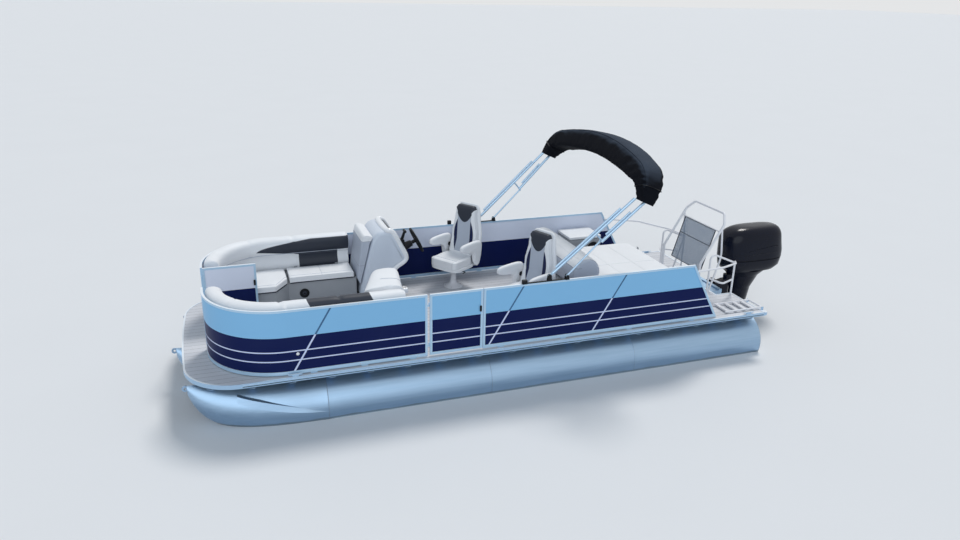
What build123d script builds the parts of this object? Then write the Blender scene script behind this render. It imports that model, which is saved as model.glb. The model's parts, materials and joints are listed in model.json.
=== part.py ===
from build123d import *

import os
from math import atan2, cos, degrees, radians, sin

os.makedirs("parts", exist_ok=True)

# Tritoon pontoon boat, afloat. Millimetres and degrees.
# x runs forward, y to port and z up. The origin is on the waterline, amidships.

# Overall sizes
deck_length = 7200
beam = 2590
deck_top = 580

# Deck
deck_board = 30
edge_wall = 20
joint_groove = 2
joint_lead = 12
edge_height = 50
edge_lip = 3
bow_corner_radius = 585
bow_crown = 20
notch_depth = 250
notch_width = 1140
beam_height = 45
beam_flange = 60
beam_wall = 5
beam_pitch = 420

# Pontoons
tube_radius = 317.5
tube_spacing = 980
tube_z = 120
nose_seam = 2120
nose_length = 1430
centre_nose_lead = 120
strake_reach = 60
keel_width = 12
keel_drop = 20
eye_radius = 34
eye_hole = 14
eye_lead = 20
plate = 12

# Fence
fence_inset = 50
rail = 25
fence_top = 1336
fence_gap = 13
kick_rail = 40
panel_thick = 12
fence_corner_radius = 820
fence_front_inset = 275
fence_aft_top = -2460
fence_aft_foot = -2868

# Gates
bow_gate_half = 325
side_gate_front = 985
side_gate_aft = 323
hinge_offset = 21
gate_clear = 10
knuckle_radius = 7
knuckle_height = 25
run_gap = 0.3

# Lounges
seat_top = 1000
cushion = 98
lounge_back_top = 1390
back_clear = 25
back_depth = 205
seat_line = 600
front_seat_line = 345
lounge_aft = 1190
locker_wall = 14
barrel_radius = 4.5
barrel_length = 40
leaf_gap = 1.5
leaf_thick = 5.5

# Helm
console_front = 1400
console_port = -550
console_starboard = -1195
wheel_centre = (560, -820, 1285)
wheel_radius = 172
wheel_rake = 26
rim_radius = 14

# Swivel chairs
arm_outer = 300
pad_half = 222
captain_at = (44, -780)
captain_turn = 34
mate_at = (-420, 620)
mate_turn = 24
pedestal_radius = 38
pedestal_top = 840

# Aft lounge
bolster_front = -970
bolster_depth = 370
bolster_top = 1420
bolster_near = 880
bolster_far = -550
pad_aft = -2470
pad_top = 1120
pad_far = -420
pad_near = 1185

# Folding top
top_pivot = (-480, 1400)
top_rake = 41.5
brace_foot = (-703, 1380)
brace_up = 709
second_drop = 134
bow_tube = 18
strut_tube = 11

# Outboard motor
transom_top = 520
transom_overhang = 60
tilt_reach = 120
tilt_height = 500
steer_reach = 155
shaft_z = -360
propeller_radius = 190
propeller_pitch = 430


deck_low = deck_top - deck_board
half_beam = beam / 2
stern = -deck_length / 2
transom_aft = stern - transom_overhang
centre_tube_aft = stern + 950
tilt_axis = (transom_aft - tilt_reach, tilt_height)
steer_x = tilt_axis[0] - steer_reach
propeller_front = steer_x - 477
bow = deck_length / 2
corner_x = bow - bow_crown - bow_corner_radius
corner_y = half_beam - bow_corner_radius
fence_side = half_beam - fence_inset
fence_front = bow - fence_front_inset
fence_corner_x = fence_front - fence_corner_radius
fence_corner_y = fence_side - fence_corner_radius
fence_foot = deck_top + fence_gap
panel_low = fence_foot + kick_rail
panel_top = fence_top - rail
panel_skin = (rail - panel_thick) / 2
fence_slope = (fence_aft_top - fence_aft_foot) / (fence_top - fence_foot)


def deck_area(inset):
    """Plan of the deck with its motor notch, moved in by an inset."""
    side = half_beam - inset
    aft = stern + inset
    front = bow - bow_crown - inset
    radius = bow_corner_radius - inset
    reach = radius * cos(radians(45))
    with BuildSketch() as area:
        with BuildLine():
            Polyline((corner_x, side), (aft, side), (aft, -side), (corner_x, -side))
            ThreePointArc((corner_x, -side), (corner_x + reach, -corner_y - reach), (front, -corner_y))
            ThreePointArc((front, -corner_y), (bow - inset, 0), (front, corner_y))
            ThreePointArc((front, corner_y), (corner_x + reach, corner_y + reach), (corner_x, side))
        make_face()
        with Locations((stern, 0)):
            Rectangle(2 * (notch_depth + inset), notch_width + 2 * inset, mode=Mode.SUBTRACT)
    return area.sketch


def fence_area(inset):
    """Plan inside the fence's outer face, moved in by an inset."""
    side = fence_side - inset
    front = fence_front - inset
    radius = fence_corner_radius - inset
    reach = radius * cos(radians(45))
    x, y = fence_corner_x, fence_corner_y
    with BuildSketch() as area:
        with BuildLine():
            Polyline((x, side), (stern, side), (stern, -side), (x, -side))
            ThreePointArc((x, -side), (x + reach, -y - reach), (front, -y))
            Line((front, -y), (front, y))
            ThreePointArc((front, y), (x + reach, y + reach), (x, side))
        make_face()
    return area.sketch


def fence_x(z):
    """Where the slanted aft end of the fence stands at a height."""
    return fence_aft_foot + fence_slope * (z - fence_foot)


def fence_strip(outer, inner, x_aft, x_front, y_low, y_high):
    """Adds to the open sketch the strip of fence plan between two insets, cut to a window."""
    add(fence_area(outer))
    add(fence_area(inner), mode=Mode.SUBTRACT)
    with Locations(((x_aft + x_front) / 2, (y_low + y_high) / 2)):
        Rectangle(x_front - x_aft, y_high - y_low, mode=Mode.INTERSECT)


def cut_fence_end(side, shift):
    """Cuts the open part behind the slanted aft end, moved forward by a shift."""
    low = fence_foot - 40
    high = fence_top + 40
    far_aft = stern - 100
    with BuildSketch(Plane.XZ.offset(-side * (fence_side + 10))) as wedge:
        Polygon(
            (fence_x(low) + shift, low),
            (fence_x(high) + shift, high),
            (far_aft, high),
            (far_aft, low),
            align=None,
        )
    extrude(wedge.sketch, amount=side * (rail + 20), mode=Mode.SUBTRACT)


# Pontoons: a rolled tube, a nose cone pressed in two halves, strakes, keel and towing eye

# columns: share of the nose length, half width, top and keel heights above the tube's centre
nose_sections = [
    (0.00, 317.5, 317.5, -317.5),
    (0.36, 296, 326, -292),
    (0.66, 232, 346, -216),
    (0.88, 128, 362, -52),
    (1.00, 24, 372, 262),
]

# columns: x, half width of the nose there, height of the fin's upper edge, its depth
fin_reach = 22
nose_fin = [
    (nose_seam - 40, 300, 118, 10),
    (2400, 300, 190, 46),
    (2660, 284, 266, 74),
    (2900, 250, 336, 76),
    (3060, 214, 392, 66),
]


def pontoon(name, y, aft, lead):
    """Writes one float; lead moves its nose forward."""
    with BuildPart() as tube:
        with BuildSketch(Plane.YZ.offset(aft)):
            with Locations((y, tube_z)):
                Circle(tube_radius)
        extrude(amount=nose_seam - aft)
        for share, half, top, keel in nose_sections:
            x = nose_seam + share * (nose_length + lead)
            middle = tube_z + (top + keel) / 2
            with BuildSketch(Plane.YZ.offset(x)):
                with BuildLine():
                    ThreePointArc((y, tube_z + keel), (y + half, middle), (y, tube_z + top))
                    ThreePointArc((y, tube_z + top), (y - half, middle), (y, tube_z + keel))
                make_face()
        loft()
        # Spray strakes on both sides, below the waterline
        root = tube_radius - 4
        upper = (root * cos(radians(20)), tube_z - root * sin(radians(20)))
        lower = (root * cos(radians(34)), tube_z - root * sin(radians(34)))
        with BuildSketch(Plane.YZ.offset(aft + 120)):
            for side in (1, -1):
                Polygon(
                    (y + side * upper[0], upper[1]),
                    (y + side * (lower[0] + strake_reach), lower[1]),
                    (y + side * lower[0], lower[1]),
                    align=None,
                )
        extrude(amount=nose_seam - 40 - aft - 120)
        with BuildSketch(Plane.YZ.offset(aft + 60)):
            with Locations((y, tube_z - tube_radius - keel_drop / 2 + 5)):
                Rectangle(keel_width, keel_drop + 10)
        extrude(amount=nose_seam - aft - 60)
        # Spray fin on each side of the nose, from the seam up to the stem
        for side in (1, -1):
            for x, out, z, depth in nose_fin:
                with BuildSketch(Plane.YZ.offset(x)) as rib:
                    Polygon(
                        (y + side * (out - 40), z + 12),
                        (y + side * out, z),
                        (y + side * (out + fin_reach), z - depth),
                        (y + side * (out - 60), z - depth),
                        align=None,
                    )
            loft()
        # Towing eye on the nose
        with BuildSketch(Plane.XZ.offset(-y)):
            with Locations((nose_seam + nose_length + lead + eye_lead, tube_z + 340)):
                Circle(eye_radius)
                Circle(eye_hole, mode=Mode.SUBTRACT)
        extrude(amount=plate / 2, both=True)
    tube.part.label = name
    export_step(tube.part, f"parts/{name}.step")


# columns: name, y, aft end, lead of the nose
floats = [
    ("port_pontoon", tube_spacing, stern, 0),
    ("centre_pontoon", 0, centre_tube_aft, centre_nose_lead),
    ("starboard_pontoon", -tube_spacing, stern, 0),
]
for name, y, aft, lead in floats:
    pontoon(name, y, aft, lead)

# Risers: continuous channels between the tubes and the cross beams
riser_top = deck_low - beam_height
riser_foot = 112
riser_head = 82
riser_wall = 8
riser_aft_inset = 60
with BuildPart() as risers:
    for name, y, aft, lead in floats:
        start = aft + riser_aft_inset
        with BuildSketch(Plane.YZ.offset(start)):
            Polygon(
                (y - riser_foot, tube_z),
                (y - riser_head, riser_top),
                (y + riser_head, riser_top),
                (y + riser_foot, tube_z),
                align=None,
            )
            Polygon(
                (y - riser_foot + riser_wall, tube_z),
                (y - riser_head + riser_wall, riser_top - riser_wall),
                (y + riser_head - riser_wall, riser_top - riser_wall),
                (y + riser_foot - riser_wall, tube_z),
                align=None,
                mode=Mode.SUBTRACT,
            )
            with Locations((y, tube_z)):
                Circle(tube_radius + run_gap, mode=Mode.SUBTRACT)
        extrude(amount=nose_seam - start)
risers.part.label = "riser_brackets"
export_step(risers.part, "parts/riser_brackets.step")

# Cross beams: channels under the deck board
beam_first = stern + 200
beam_count = int((bow - 250 - beam_first) // beam_pitch) + 1
with BuildPart() as cross_beams:
    for index in range(beam_count):
        x = beam_first + index * beam_pitch
        with BuildSketch(Plane.XZ.offset(-half_beam)):
            with Locations((x, deck_low - beam_height / 2)):
                Rectangle(beam_flange, beam_height)
            with Locations((x + beam_wall, deck_low - beam_height / 2)):
                Rectangle(beam_flange, beam_height - 2 * beam_wall, mode=Mode.SUBTRACT)
        extrude(amount=beam)
    with BuildSketch(Plane.XY.offset(deck_low - beam_height)):
        add(deck_area(edge_wall + 2))
    extrude(amount=beam_height, mode=Mode.INTERSECT)
cross_beams.part.label = "cross_beams"
export_step(cross_beams.part, "parts/cross_beams.step")

with BuildPart() as deck:
    with BuildSketch(Plane.XY.offset(deck_low)):
        add(deck_area(edge_wall))
    extrude(amount=deck_board)
    # Butt joint between the deck's boards, ahead of the fence
    with BuildSketch(Plane.XY.offset(deck_top - joint_groove)):
        with Locations((fence_front + joint_lead, 0)):
            Rectangle(joint_groove, beam)
    extrude(amount=joint_groove, mode=Mode.SUBTRACT)
deck.part.label = "deck"
export_step(deck.part, "parts/deck.step")

# Edge extrusion round the deck, with a bumper on each stern corner
with BuildPart() as deck_edge:
    with BuildSketch(Plane.XY.offset(deck_top + edge_lip - edge_height)):
        add(deck_area(0))
        add(deck_area(edge_wall), mode=Mode.SUBTRACT)
    extrude(amount=edge_height)
    with BuildSketch(Plane.XY.offset(deck_top + edge_lip - edge_height + 5)):
        for side in (1, -1):
            with Locations((stern + 4, side * (half_beam - 40))):
                RectangleRounded(100, 84, 30)
            with Locations((stern + 60, side * (half_beam - 60))):
                Rectangle(120 - 2 * edge_wall + 40, 120 - 40, mode=Mode.SUBTRACT)
    extrude(amount=edge_height - 10)
deck_edge.part.label = "deck_edge"
export_step(deck_edge.part, "parts/deck_edge.step")

# Motor pod: the boxed hull behind the centre tube, with its transom
pod_half = 290
pod_roof = riser_top - 3
with BuildPart() as motor_pod:
    with BuildSketch(Plane.XZ.offset(-pod_half)):
        Polygon(
            (centre_tube_aft - run_gap, pod_roof - 30),
            (centre_tube_aft - 60, pod_roof),
            (transom_aft + 50, pod_roof),
            (transom_aft + 50, transom_top),
            (transom_aft, transom_top),
            (transom_aft, 40),
            (transom_aft + 70, -90),
            (centre_tube_aft - run_gap, -150),
            align=None,
        )
    extrude(amount=2 * pod_half)
    chamfer(motor_pod.edges().filter_by(Axis.X, tolerance=20).group_by(Axis.Z)[0], 50)
motor_pod.part.label = "motor_pod"
export_step(motor_pod.part, "parts/motor_pod.step")

# Fence frames. Columns: name, side, aft end, front end, inner window edge, slanted end, feet
far = half_beam + 10
fences = [
    ("port_bow_rail", 1, side_gate_front, bow, bow_gate_half, False, (1150, 1700, 2250)),
    ("port_stern_rail", 1, stern, side_gate_aft, fence_side - 60, True, (-2500, -1600, -700, 100)),
    ("starboard_rail", -1, stern, bow, bow_gate_half, True, (-2500, -1500, -500, 500, 1500, 2250)),
]


def gate_knuckles(axis_x, axis_y, turn, heights):
    """Adds fixed hinge knuckles, each with a tab that runs to the post."""
    for z in heights:
        with BuildSketch(Plane.XY.offset(z)) as knuckle:
            with Locations((axis_x, axis_y)):
                Circle(knuckle_radius)
            reach = hinge_offset + 2
            with Locations((axis_x + turn[0] * reach / 2, axis_y + turn[1] * reach / 2)):
                Rectangle(6 + abs(turn[0]) * (reach - 6), 6 + abs(turn[1]) * (reach - 6))
        extrude(knuckle.sketch, amount=knuckle_height)


bow_hinge = (fence_front - rail / 2, -bow_gate_half + hinge_offset)
side_hinge = (side_gate_front - hinge_offset, fence_side - rail / 2)
knuckle_heights = (panel_low + 70, panel_top - 120)

for name, side, aft, front, inner, slanted, feet in fences:
    y_low = inner if side > 0 else -far
    y_high = far if side > 0 else -inner
    with BuildPart() as frame:
        for z, height in ((fence_foot, kick_rail), (panel_top, rail)):
            with BuildSketch(Plane.XY.offset(z)):
                fence_strip(0, rail, aft, front, y_low, y_high)
            extrude(amount=height)
        posts = []
        if front == bow:
            posts.append((fence_front - rail / 2, side * (bow_gate_half + rail / 2)))
        if front == side_gate_aft:
            posts.append((side_gate_aft - rail / 2, fence_side - rail / 2))
        if aft == side_gate_front:
            posts.append((side_gate_front + rail / 2, fence_side - rail / 2))
        with BuildSketch(Plane.XY.offset(fence_foot)):
            with Locations(*posts):
                Rectangle(rail, rail)
        extrude(amount=fence_top - fence_foot)
        with BuildSketch(Plane.XY.offset(deck_top)):
            with Locations(*[(x, side * (fence_side - rail / 2)) for x in feet]):
                Rectangle(70, rail)
        extrude(amount=fence_gap + 1)
        if slanted:
            with BuildSketch(Plane.XZ.offset(-side * fence_side)):
                Polygon(
                    (fence_x(fence_foot), fence_foot),
                    (fence_x(fence_foot) + rail + 5, fence_foot),
                    (fence_x(fence_top) + rail + 5, fence_top),
                    (fence_x(fence_top), fence_top),
                    align=None,
                )
            extrude(amount=side * rail)
            cut_fence_end(side, 0)
        if name == "starboard_rail":
            gate_knuckles(*bow_hinge, (0, -1), knuckle_heights)
        if name == "port_bow_rail":
            gate_knuckles(*side_hinge, (1, 0), knuckle_heights)
    frame.part.label = name
    export_step(frame.part, f"parts/{name}.step")
    panel_name = name.replace("_rail", "_panel")
    panel_aft = aft + rail if aft == side_gate_front else aft
    panel_front = front - rail if front == side_gate_aft else front
    panel_inner = inner + rail if front == bow else inner
    panel_low_y = panel_inner if side > 0 else -far
    panel_high_y = far if side > 0 else -panel_inner
    with BuildPart() as panel:
        with BuildSketch(Plane.XY.offset(panel_low)):
            fence_strip(
                panel_skin, rail - panel_skin, panel_aft, panel_front, panel_low_y, panel_high_y
            )
        extrude(amount=panel_top - panel_low)
        if slanted:
            cut_fence_end(side, rail + 5)
    panel.part.label = panel_name
    export_step(panel.part, f"parts/{panel_name}.step")

# Gates, each built on a plane whose x axis runs from the hinge to the free end
# columns: name, hinge axis, length
gates = [
    ("bow_gate", bow_hinge, 2 * bow_gate_half - hinge_offset - gate_clear),
    ("side_gate", side_hinge, side_gate_front - side_gate_aft - hinge_offset - gate_clear),
]
for name, hinge, length in gates:
    gate_low = fence_foot + 8
    with BuildPart() as gate_frame:
        face = Plane(origin=(hinge[0], hinge[1] + rail / 2, 0), x_dir=(-1, 0, 0), z_dir=(0, 1, 0))
        with BuildSketch(face):
            with Locations(((gate_clear + length) / 2, (gate_low + fence_top) / 2)):
                Rectangle(length - gate_clear, fence_top - gate_low)
            with Locations(((gate_clear + length) / 2, (panel_low + panel_top) / 2)):
                Rectangle(length - gate_clear - 2 * rail, panel_top - panel_low, mode=Mode.SUBTRACT)
        extrude(amount=-rail)
        for z in knuckle_heights:
            with BuildSketch(Plane.XY.offset(z + knuckle_height + run_gap)):
                with Locations(hinge):
                    Circle(knuckle_radius)
                with Locations((hinge[0] - gate_clear / 2 - 1, hinge[1])):
                    Rectangle(gate_clear + 2, 6)
            extrude(amount=knuckle_height)
    gate_frame.part.label = f"{name}_frame"
    export_step(gate_frame.part, f"parts/{name}_frame.step")
    with BuildPart() as gate_panel:
        face = Plane(origin=(hinge[0], hinge[1] + panel_thick / 2, 0), x_dir=(-1, 0, 0), z_dir=(0, 1, 0))
        with BuildSketch(face):
            with Locations(((gate_clear + length) / 2, (panel_low + panel_top) / 2)):
                Rectangle(length - gate_clear - 2 * rail, panel_top - panel_low)
        extrude(amount=-panel_thick)
    gate_panel.part.label = f"{name}_panel"
    export_step(gate_panel.part, f"parts/{name}_panel.step")

# Bow lounges
seat_base_top = seat_top - cushion - run_gap
back_inset = back_clear + back_depth
lid_back = fence_side - back_inset - 10
lid_front = 2296
port_lid_aft = 1700
starboard_lid_aft = 1440
hinge_inset = 120
corner_inner = 400
corner_tip = 1340
corner_knee = port_lid_aft - 8
toe_in = 40


def lid_hinges(aft):
    """Where the moving knuckles of a lid start."""
    return (aft + hinge_inset, lid_front - hinge_inset - 2 * barrel_length)


def seat_plan(grow, aft, inset):
    """Adds the port seat's plan to the open sketch: its knee edge grown, its back inset."""
    front = fence_front - inset
    outer = fence_side - inset
    inner = seat_line - grow
    inner_front = front_seat_line - grow
    with BuildLine() as outline:
        Polyline(
            (aft, outer),
            (aft, inner),
            (lid_front, inner),
            (lid_front + 170, inner_front),
            (front, inner_front),
            (front, fence_corner_y),
        )
        radius = front - fence_corner_x
        reach = radius * cos(radians(45))
        ThreePointArc(
            (front, fence_corner_y),
            (fence_corner_x + reach, fence_corner_y + reach),
            (fence_corner_x, outer),
        )
        Line((fence_corner_x, outer), (aft, outer))
    make_face(outline.edges())


starboard_aft = console_front + 25
with BuildPart() as bases:
    for side in (1, -1):
        with BuildSketch(Plane.XY.offset(deck_top)):
            seat_plan(-toe_in, lounge_aft if side > 0 else starboard_aft, back_clear + 8)
            if side < 0:
                mirror(about=Plane.XZ, mode=Mode.REPLACE)
            else:
                with Locations(((lounge_aft + corner_tip) / 2, (corner_inner + seat_line) / 2 + toe_in)):
                    Rectangle(corner_tip - lounge_aft - 20, seat_line - corner_inner + 20)
        extrude(amount=seat_base_top - deck_top)
        # Storage under the lid
        lid_aft = port_lid_aft if side > 0 else starboard_lid_aft
        with BuildSketch(Plane.XY.offset(deck_top + locker_wall)):
            depth = lid_back - seat_line - toe_in - 2 * locker_wall
            middle = (lid_back + seat_line + toe_in) / 2
            with Locations(((lid_aft + lid_front) / 2, side * middle)):
                Rectangle(lid_front - lid_aft - 2 * locker_wall - 20, depth)
        extrude(amount=seat_base_top - deck_top, mode=Mode.SUBTRACT)
        # Fixed hinge knuckles, each on a leaf between the lid and the backrest
        for x in lid_hinges(lid_aft):
            with BuildSketch(Plane.YZ.offset(x + barrel_length + run_gap)):
                with Locations((side * lid_back, seat_top)):
                    Circle(barrel_radius)
                with Locations((side * (lid_back + leaf_gap + leaf_thick / 2), (seat_top + seat_base_top) / 2)):
                    Rectangle(leaf_thick, seat_top - seat_base_top + 2)
            extrude(amount=barrel_length)
bases.part.label = "lounge_bases"
export_step(bases.part, "parts/lounge_bases.step")

for side, word, lid_aft in ((1, "port", port_lid_aft), (-1, "starboard", starboard_lid_aft)):
    with BuildPart() as lid:
        with BuildSketch(Plane.XY.offset(seat_base_top + run_gap)):
            with Locations(((lid_aft + lid_front) / 2, side * (lid_back + seat_line) / 2)):
                Rectangle(lid_front - lid_aft - 8, lid_back - seat_line)
        extrude(amount=cushion)
        for x in lid_hinges(lid_aft):
            with BuildSketch(Plane.YZ.offset(x)):
                with Locations((side * lid_back, seat_top)):
                    Circle(barrel_radius)
            extrude(amount=barrel_length)
            with BuildSketch(Plane.YZ.offset(x + barrel_length)):
                with Locations((side * lid_back, seat_top)):
                    Circle(barrel_radius + 1)
            extrude(amount=barrel_length + 2 * run_gap, mode=Mode.SUBTRACT)
    lid.part.label = f"{word}_seat_lid"
    export_step(lid.part, f"parts/{word}_seat_lid.step")

with BuildPart() as front_cushions:
    for side in (1, -1):
        with BuildSketch(Plane.XY.offset(seat_base_top + run_gap)):
            seat_plan(0, lid_front - 500, back_inset + 10)
            with Locations((lid_front - 300, fence_side / 2)):
                Rectangle(600, 2 * fence_side, mode=Mode.SUBTRACT)
            if side < 0:
                mirror(about=Plane.XZ, mode=Mode.REPLACE)
        extrude(amount=cushion)
front_cushions.part.label = "bow_cushions"
export_step(front_cushions.part, "parts/bow_cushions.step")

# Backrests: padded bands that follow the fence, with a step below the roll
# columns: name, side, aft end
backs = [
    ("port_lounge_back", 1, lounge_aft + 200),
    ("starboard_lounge_back", -1, starboard_aft + 15),
]
for name, side, aft in backs:
    low_y = front_seat_line if side > 0 else -far
    high_y = far if side > 0 else -front_seat_line
    with BuildPart() as lounge_back:
        with BuildSketch(Plane.XY.offset(seat_base_top)):
            fence_strip(back_clear + 8, back_inset, aft, bow, low_y, high_y)
        extrude(amount=lounge_back_top - seat_base_top)
        with BuildSketch(Plane.XY.offset(lounge_back_top - 330)):
            fence_strip(back_inset - 70, back_inset + 1, aft, bow, low_y, high_y)
        extrude(amount=-200, mode=Mode.SUBTRACT)
    lounge_back.part.label = name
    export_step(lounge_back.part, f"parts/{name}.step")

# Port lounge's aft corner: a seat pad, and on it a backrest with a slanted front and a rounded end
wedge_high = seat_top + 400
corner_outer = fence_side - back_clear - 8
with BuildPart() as corner:
    with BuildSketch(Plane.XY.offset(seat_top)):
        Polygon(
            (lounge_aft, corner_outer),
            (lounge_aft, corner_inner),
            (corner_tip, corner_inner),
            (corner_knee - 30, lid_back),
            (lounge_aft + 192, lid_back),
            (lounge_aft + 192, corner_outer),
            align=None,
        )
    extrude(amount=wedge_high - seat_top)
    fillet(corner.edges().filter_by(Axis.Z).group_by(Axis.Y)[0], 68)
    fillet(corner.faces().sort_by(Axis.Z)[-1].edges(), 30)
    with BuildSketch(Plane.XY.offset(seat_base_top)):
        Polygon(
            (lounge_aft, corner_outer),
            (lounge_aft, corner_inner + 70),
            (corner_tip - 40, corner_inner + 70),
            (corner_tip + 60, seat_line),
            (corner_knee, seat_line),
            (corner_knee, lid_back),
            (lounge_aft + 192, lid_back),
            (lounge_aft + 192, corner_outer),
            align=None,
        )
    extrude(amount=seat_top - seat_base_top)
corner.part.label = "port_lounge_corner"
export_step(corner.part, "parts/port_lounge_corner.step")

# Helm console with its dash hood and the steering column's bezel
console_width = console_port - console_starboard
dash_aft = 745
hood_rise = 45
column_radius = 24
column_length = 230
wheel_plane = Plane(
    origin=wheel_centre,
    x_dir=(0, 1, 0),
    z_dir=(-cos(radians(wheel_rake)), 0, sin(radians(wheel_rake))),
)
with BuildPart() as console:
    with BuildSketch(Plane.XZ.offset(-console_port)):
        Polygon(
            (console_front, deck_top),
            (console_front - 12, 780),
            (1240, 1360),
            (1190, 1470),
            (930, 1490),
            (dash_aft, 1120),
            (dash_aft + 190, 1010),
            (dash_aft + 250, deck_top),
            align=None,
        )
    extrude(amount=console_width)
    fillet(console.edges().filter_by(Axis.Y).group_by(Axis.Z)[-1], 40)
    fillet(console.edges().filter_by(Axis.Y).sort_by(Axis.X)[0], 45)
    with BuildSketch(Plane.XZ.offset(-console_port + 45)):
        Polygon(
            (1150, 1460),
            (990, 1460),
            (975, 1485 + hood_rise),
            (1120, 1480 + hood_rise),
            align=None,
        )
    extrude(amount=console_width - 90)
    with BuildSketch(wheel_plane.offset(-70 - run_gap)):
        Circle(column_radius + 14)
    extrude(amount=-column_length)
console.part.label = "helm_console"
export_step(console.part, "parts/helm_console.step")

# Padded back of the starboard lounge, on the console's front
with BuildPart() as pillow:
    with BuildSketch(Plane.XZ.offset(-console_port)):
        Polygon(
            (1383.4, 800),
            (1422, 905),
            (1398, 1100),
            (1352, 1400),
            (1322, 1500),
            (1262, 1500),
            (1190.7, 1470.5),
            (1240.5, 1360.2),
            align=None,
        )
    extrude(amount=console_width - 30)
    fillet(pillow.edges().filter_by(Axis.Y).group_by(Axis.Z)[-1], 18)
pillow.part.label = "console_backrest"
export_step(pillow.part, "parts/console_backrest.step")

# Steering wheel on a plane square to its column
hub_radius = 42
spoke_width = 26
across_rim = Plane(
    origin=wheel_centre,
    x_dir=(0, 1, 0),
    z_dir=(sin(radians(wheel_rake)), 0, cos(radians(wheel_rake))),
)
with BuildPart() as wheel:
    with BuildSketch(across_rim):
        with Locations((wheel_radius, 0)):
            Circle(rim_radius)
    revolve(axis=Axis(wheel_plane.origin, wheel_plane.z_dir))
    with BuildSketch(wheel_plane.offset(-10)):
        Circle(hub_radius)
        for angle in (90, 210, 330):
            with Locations(Location((0, 0, 0), (0, 0, angle))):
                with Locations((wheel_radius / 2, 0)):
                    Rectangle(wheel_radius - 4, spoke_width)
    extrude(amount=14)
    with BuildSketch(wheel_plane.offset(-10)):
        Circle(column_radius)
    extrude(amount=-60)
wheel.part.label = "steering_wheel"
export_step(wheel.part, "parts/steering_wheel.step")

# Throttle box and lever on the dash, to starboard of the wheel
with BuildPart() as throttle:
    with BuildSketch(Plane.XZ.offset(-console_port + 12)):
        Polygon(
            (869.2, 1369),
            (820.9, 1272.5),
            (775, 1310),
            (790, 1385),
            (850, 1402),
            align=None,
        )
    extrude(amount=62)
    with BuildSketch(Plane.XZ.offset(-console_port + 36)):
        Polygon((800, 1370), (835, 1390), (790, 1500), (765, 1490), align=None)
    extrude(amount=14)
    with BuildSketch(Plane.XZ.offset(-console_port + 4)):
        with Locations((778, 1497)):
            Circle(17)
    extrude(amount=80)
throttle.part.label = "throttle"
export_step(throttle.part, "parts/throttle.step")


# Swivel bucket chairs, each drawn facing forward on a plane turned about its pedestal
def chair(word, at, turn):
    """Writes one bucket chair: its shell and its cushions."""
    ahead = (cos(radians(turn)), sin(radians(turn)), 0)
    floor = Plane(origin=(at[0], at[1], 0), x_dir=ahead, z_dir=(0, 0, 1))
    left = (-ahead[1], ahead[0], 0)
    def side_view(offset):
        """Plane with x ahead and y up, at a distance to port of the pedestal."""
        origin = (at[0] + left[0] * offset, at[1] + left[1] * offset, 0)
        return Plane(origin=origin, x_dir=ahead, z_dir=(-left[0], -left[1], 0))

    with BuildPart() as shell:
        with BuildSketch(floor.offset(pedestal_top + run_gap)):
            Circle(95)
            Rectangle(300, 210)
        extrude(amount=20)
        with BuildSketch(floor.offset(pedestal_top + 20)):
            with Locations((15, 0)):
                RectangleRounded(470, 480, 70)
        extrude(amount=42)
        # Back: leans aft, with waisted sides
        with BuildSketch(side_view(235)):
            with BuildLine():
                Polyline((-185, 862), (-255, 862), (-330, 1000), (-352, 1200), (-385, 1640))
                ThreePointArc((-385, 1640), (-376, 1690), (-330, 1700))
                Polyline((-330, 1700), (-292, 1200), (-262, 960), (-185, 905), (-185, 862))
            make_face()
        extrude(amount=470)
        with BuildSketch(Plane(origin=floor.origin, x_dir=left, z_dir=ahead)):
            with BuildLine():
                Polyline((-140, 1710), (-176, 1655), (-196, 1500), (-235, 1330), (-235, 830), (235, 830))
                Polyline((235, 830), (235, 1330), (196, 1500), (176, 1655), (140, 1710), (-140, 1710))
            make_face()
        extrude(amount=500, both=True, mode=Mode.INTERSECT)
        # Arms: padded paddles that grow out of the back's sides
        for sense in (1, -1):
            with BuildSketch(side_view(sense * arm_outer)):
                with BuildLine():
                    Polyline((-280, 1130), (-258, 1000), (-215, 890), (-120, 885), (-92, 970), (-60, 1060))
                    Polyline((-60, 1060), (30, 1110), (140, 1120))
                    ThreePointArc((140, 1120), (210, 1190), (140, 1258))
                    Polyline((140, 1258), (-230, 1262), (-272, 1225), (-280, 1130))
                make_face()
            extrude(amount=sense * (arm_outer - 235))
    shell.part.label = f"{word}_shell"
    export_step(shell.part, f"parts/{word}_shell.step")
    with BuildPart() as pads:
        with BuildSketch(floor.offset(pedestal_top + 62 + run_gap)):
            with Locations((50, 0)):
                RectangleRounded(410, 466, 60)
        extrude(amount=118)
        with BuildSketch(side_view(pad_half)):
            Polygon(
                (-150, 1030),
                (-269.6, 1025),
                (-291.5, 1200),
                (-329.5, 1700),
                (-250, 1700),
                (-215, 1200),
                align=None,
            )
        extrude(amount=2 * pad_half)
        with BuildSketch(Plane(origin=floor.origin, x_dir=left, z_dir=ahead)):
            Polygon(
                (-240, 800),
                (-240, 1330),
                (-pad_half, 1330),
                (-184, 1500),
                (-166, 1650),
                (-130, 1700),
                (130, 1700),
                (166, 1650),
                (184, 1500),
                (pad_half, 1330),
                (240, 1330),
                (240, 800),
                align=None,
            )
        extrude(amount=500, both=True, mode=Mode.INTERSECT)
    pads.part.label = f"{word}_cushions"
    export_step(pads.part, f"parts/{word}_cushions.step")


chair("captain", captain_at, captain_turn)
chair("mate", mate_at, mate_turn)

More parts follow.
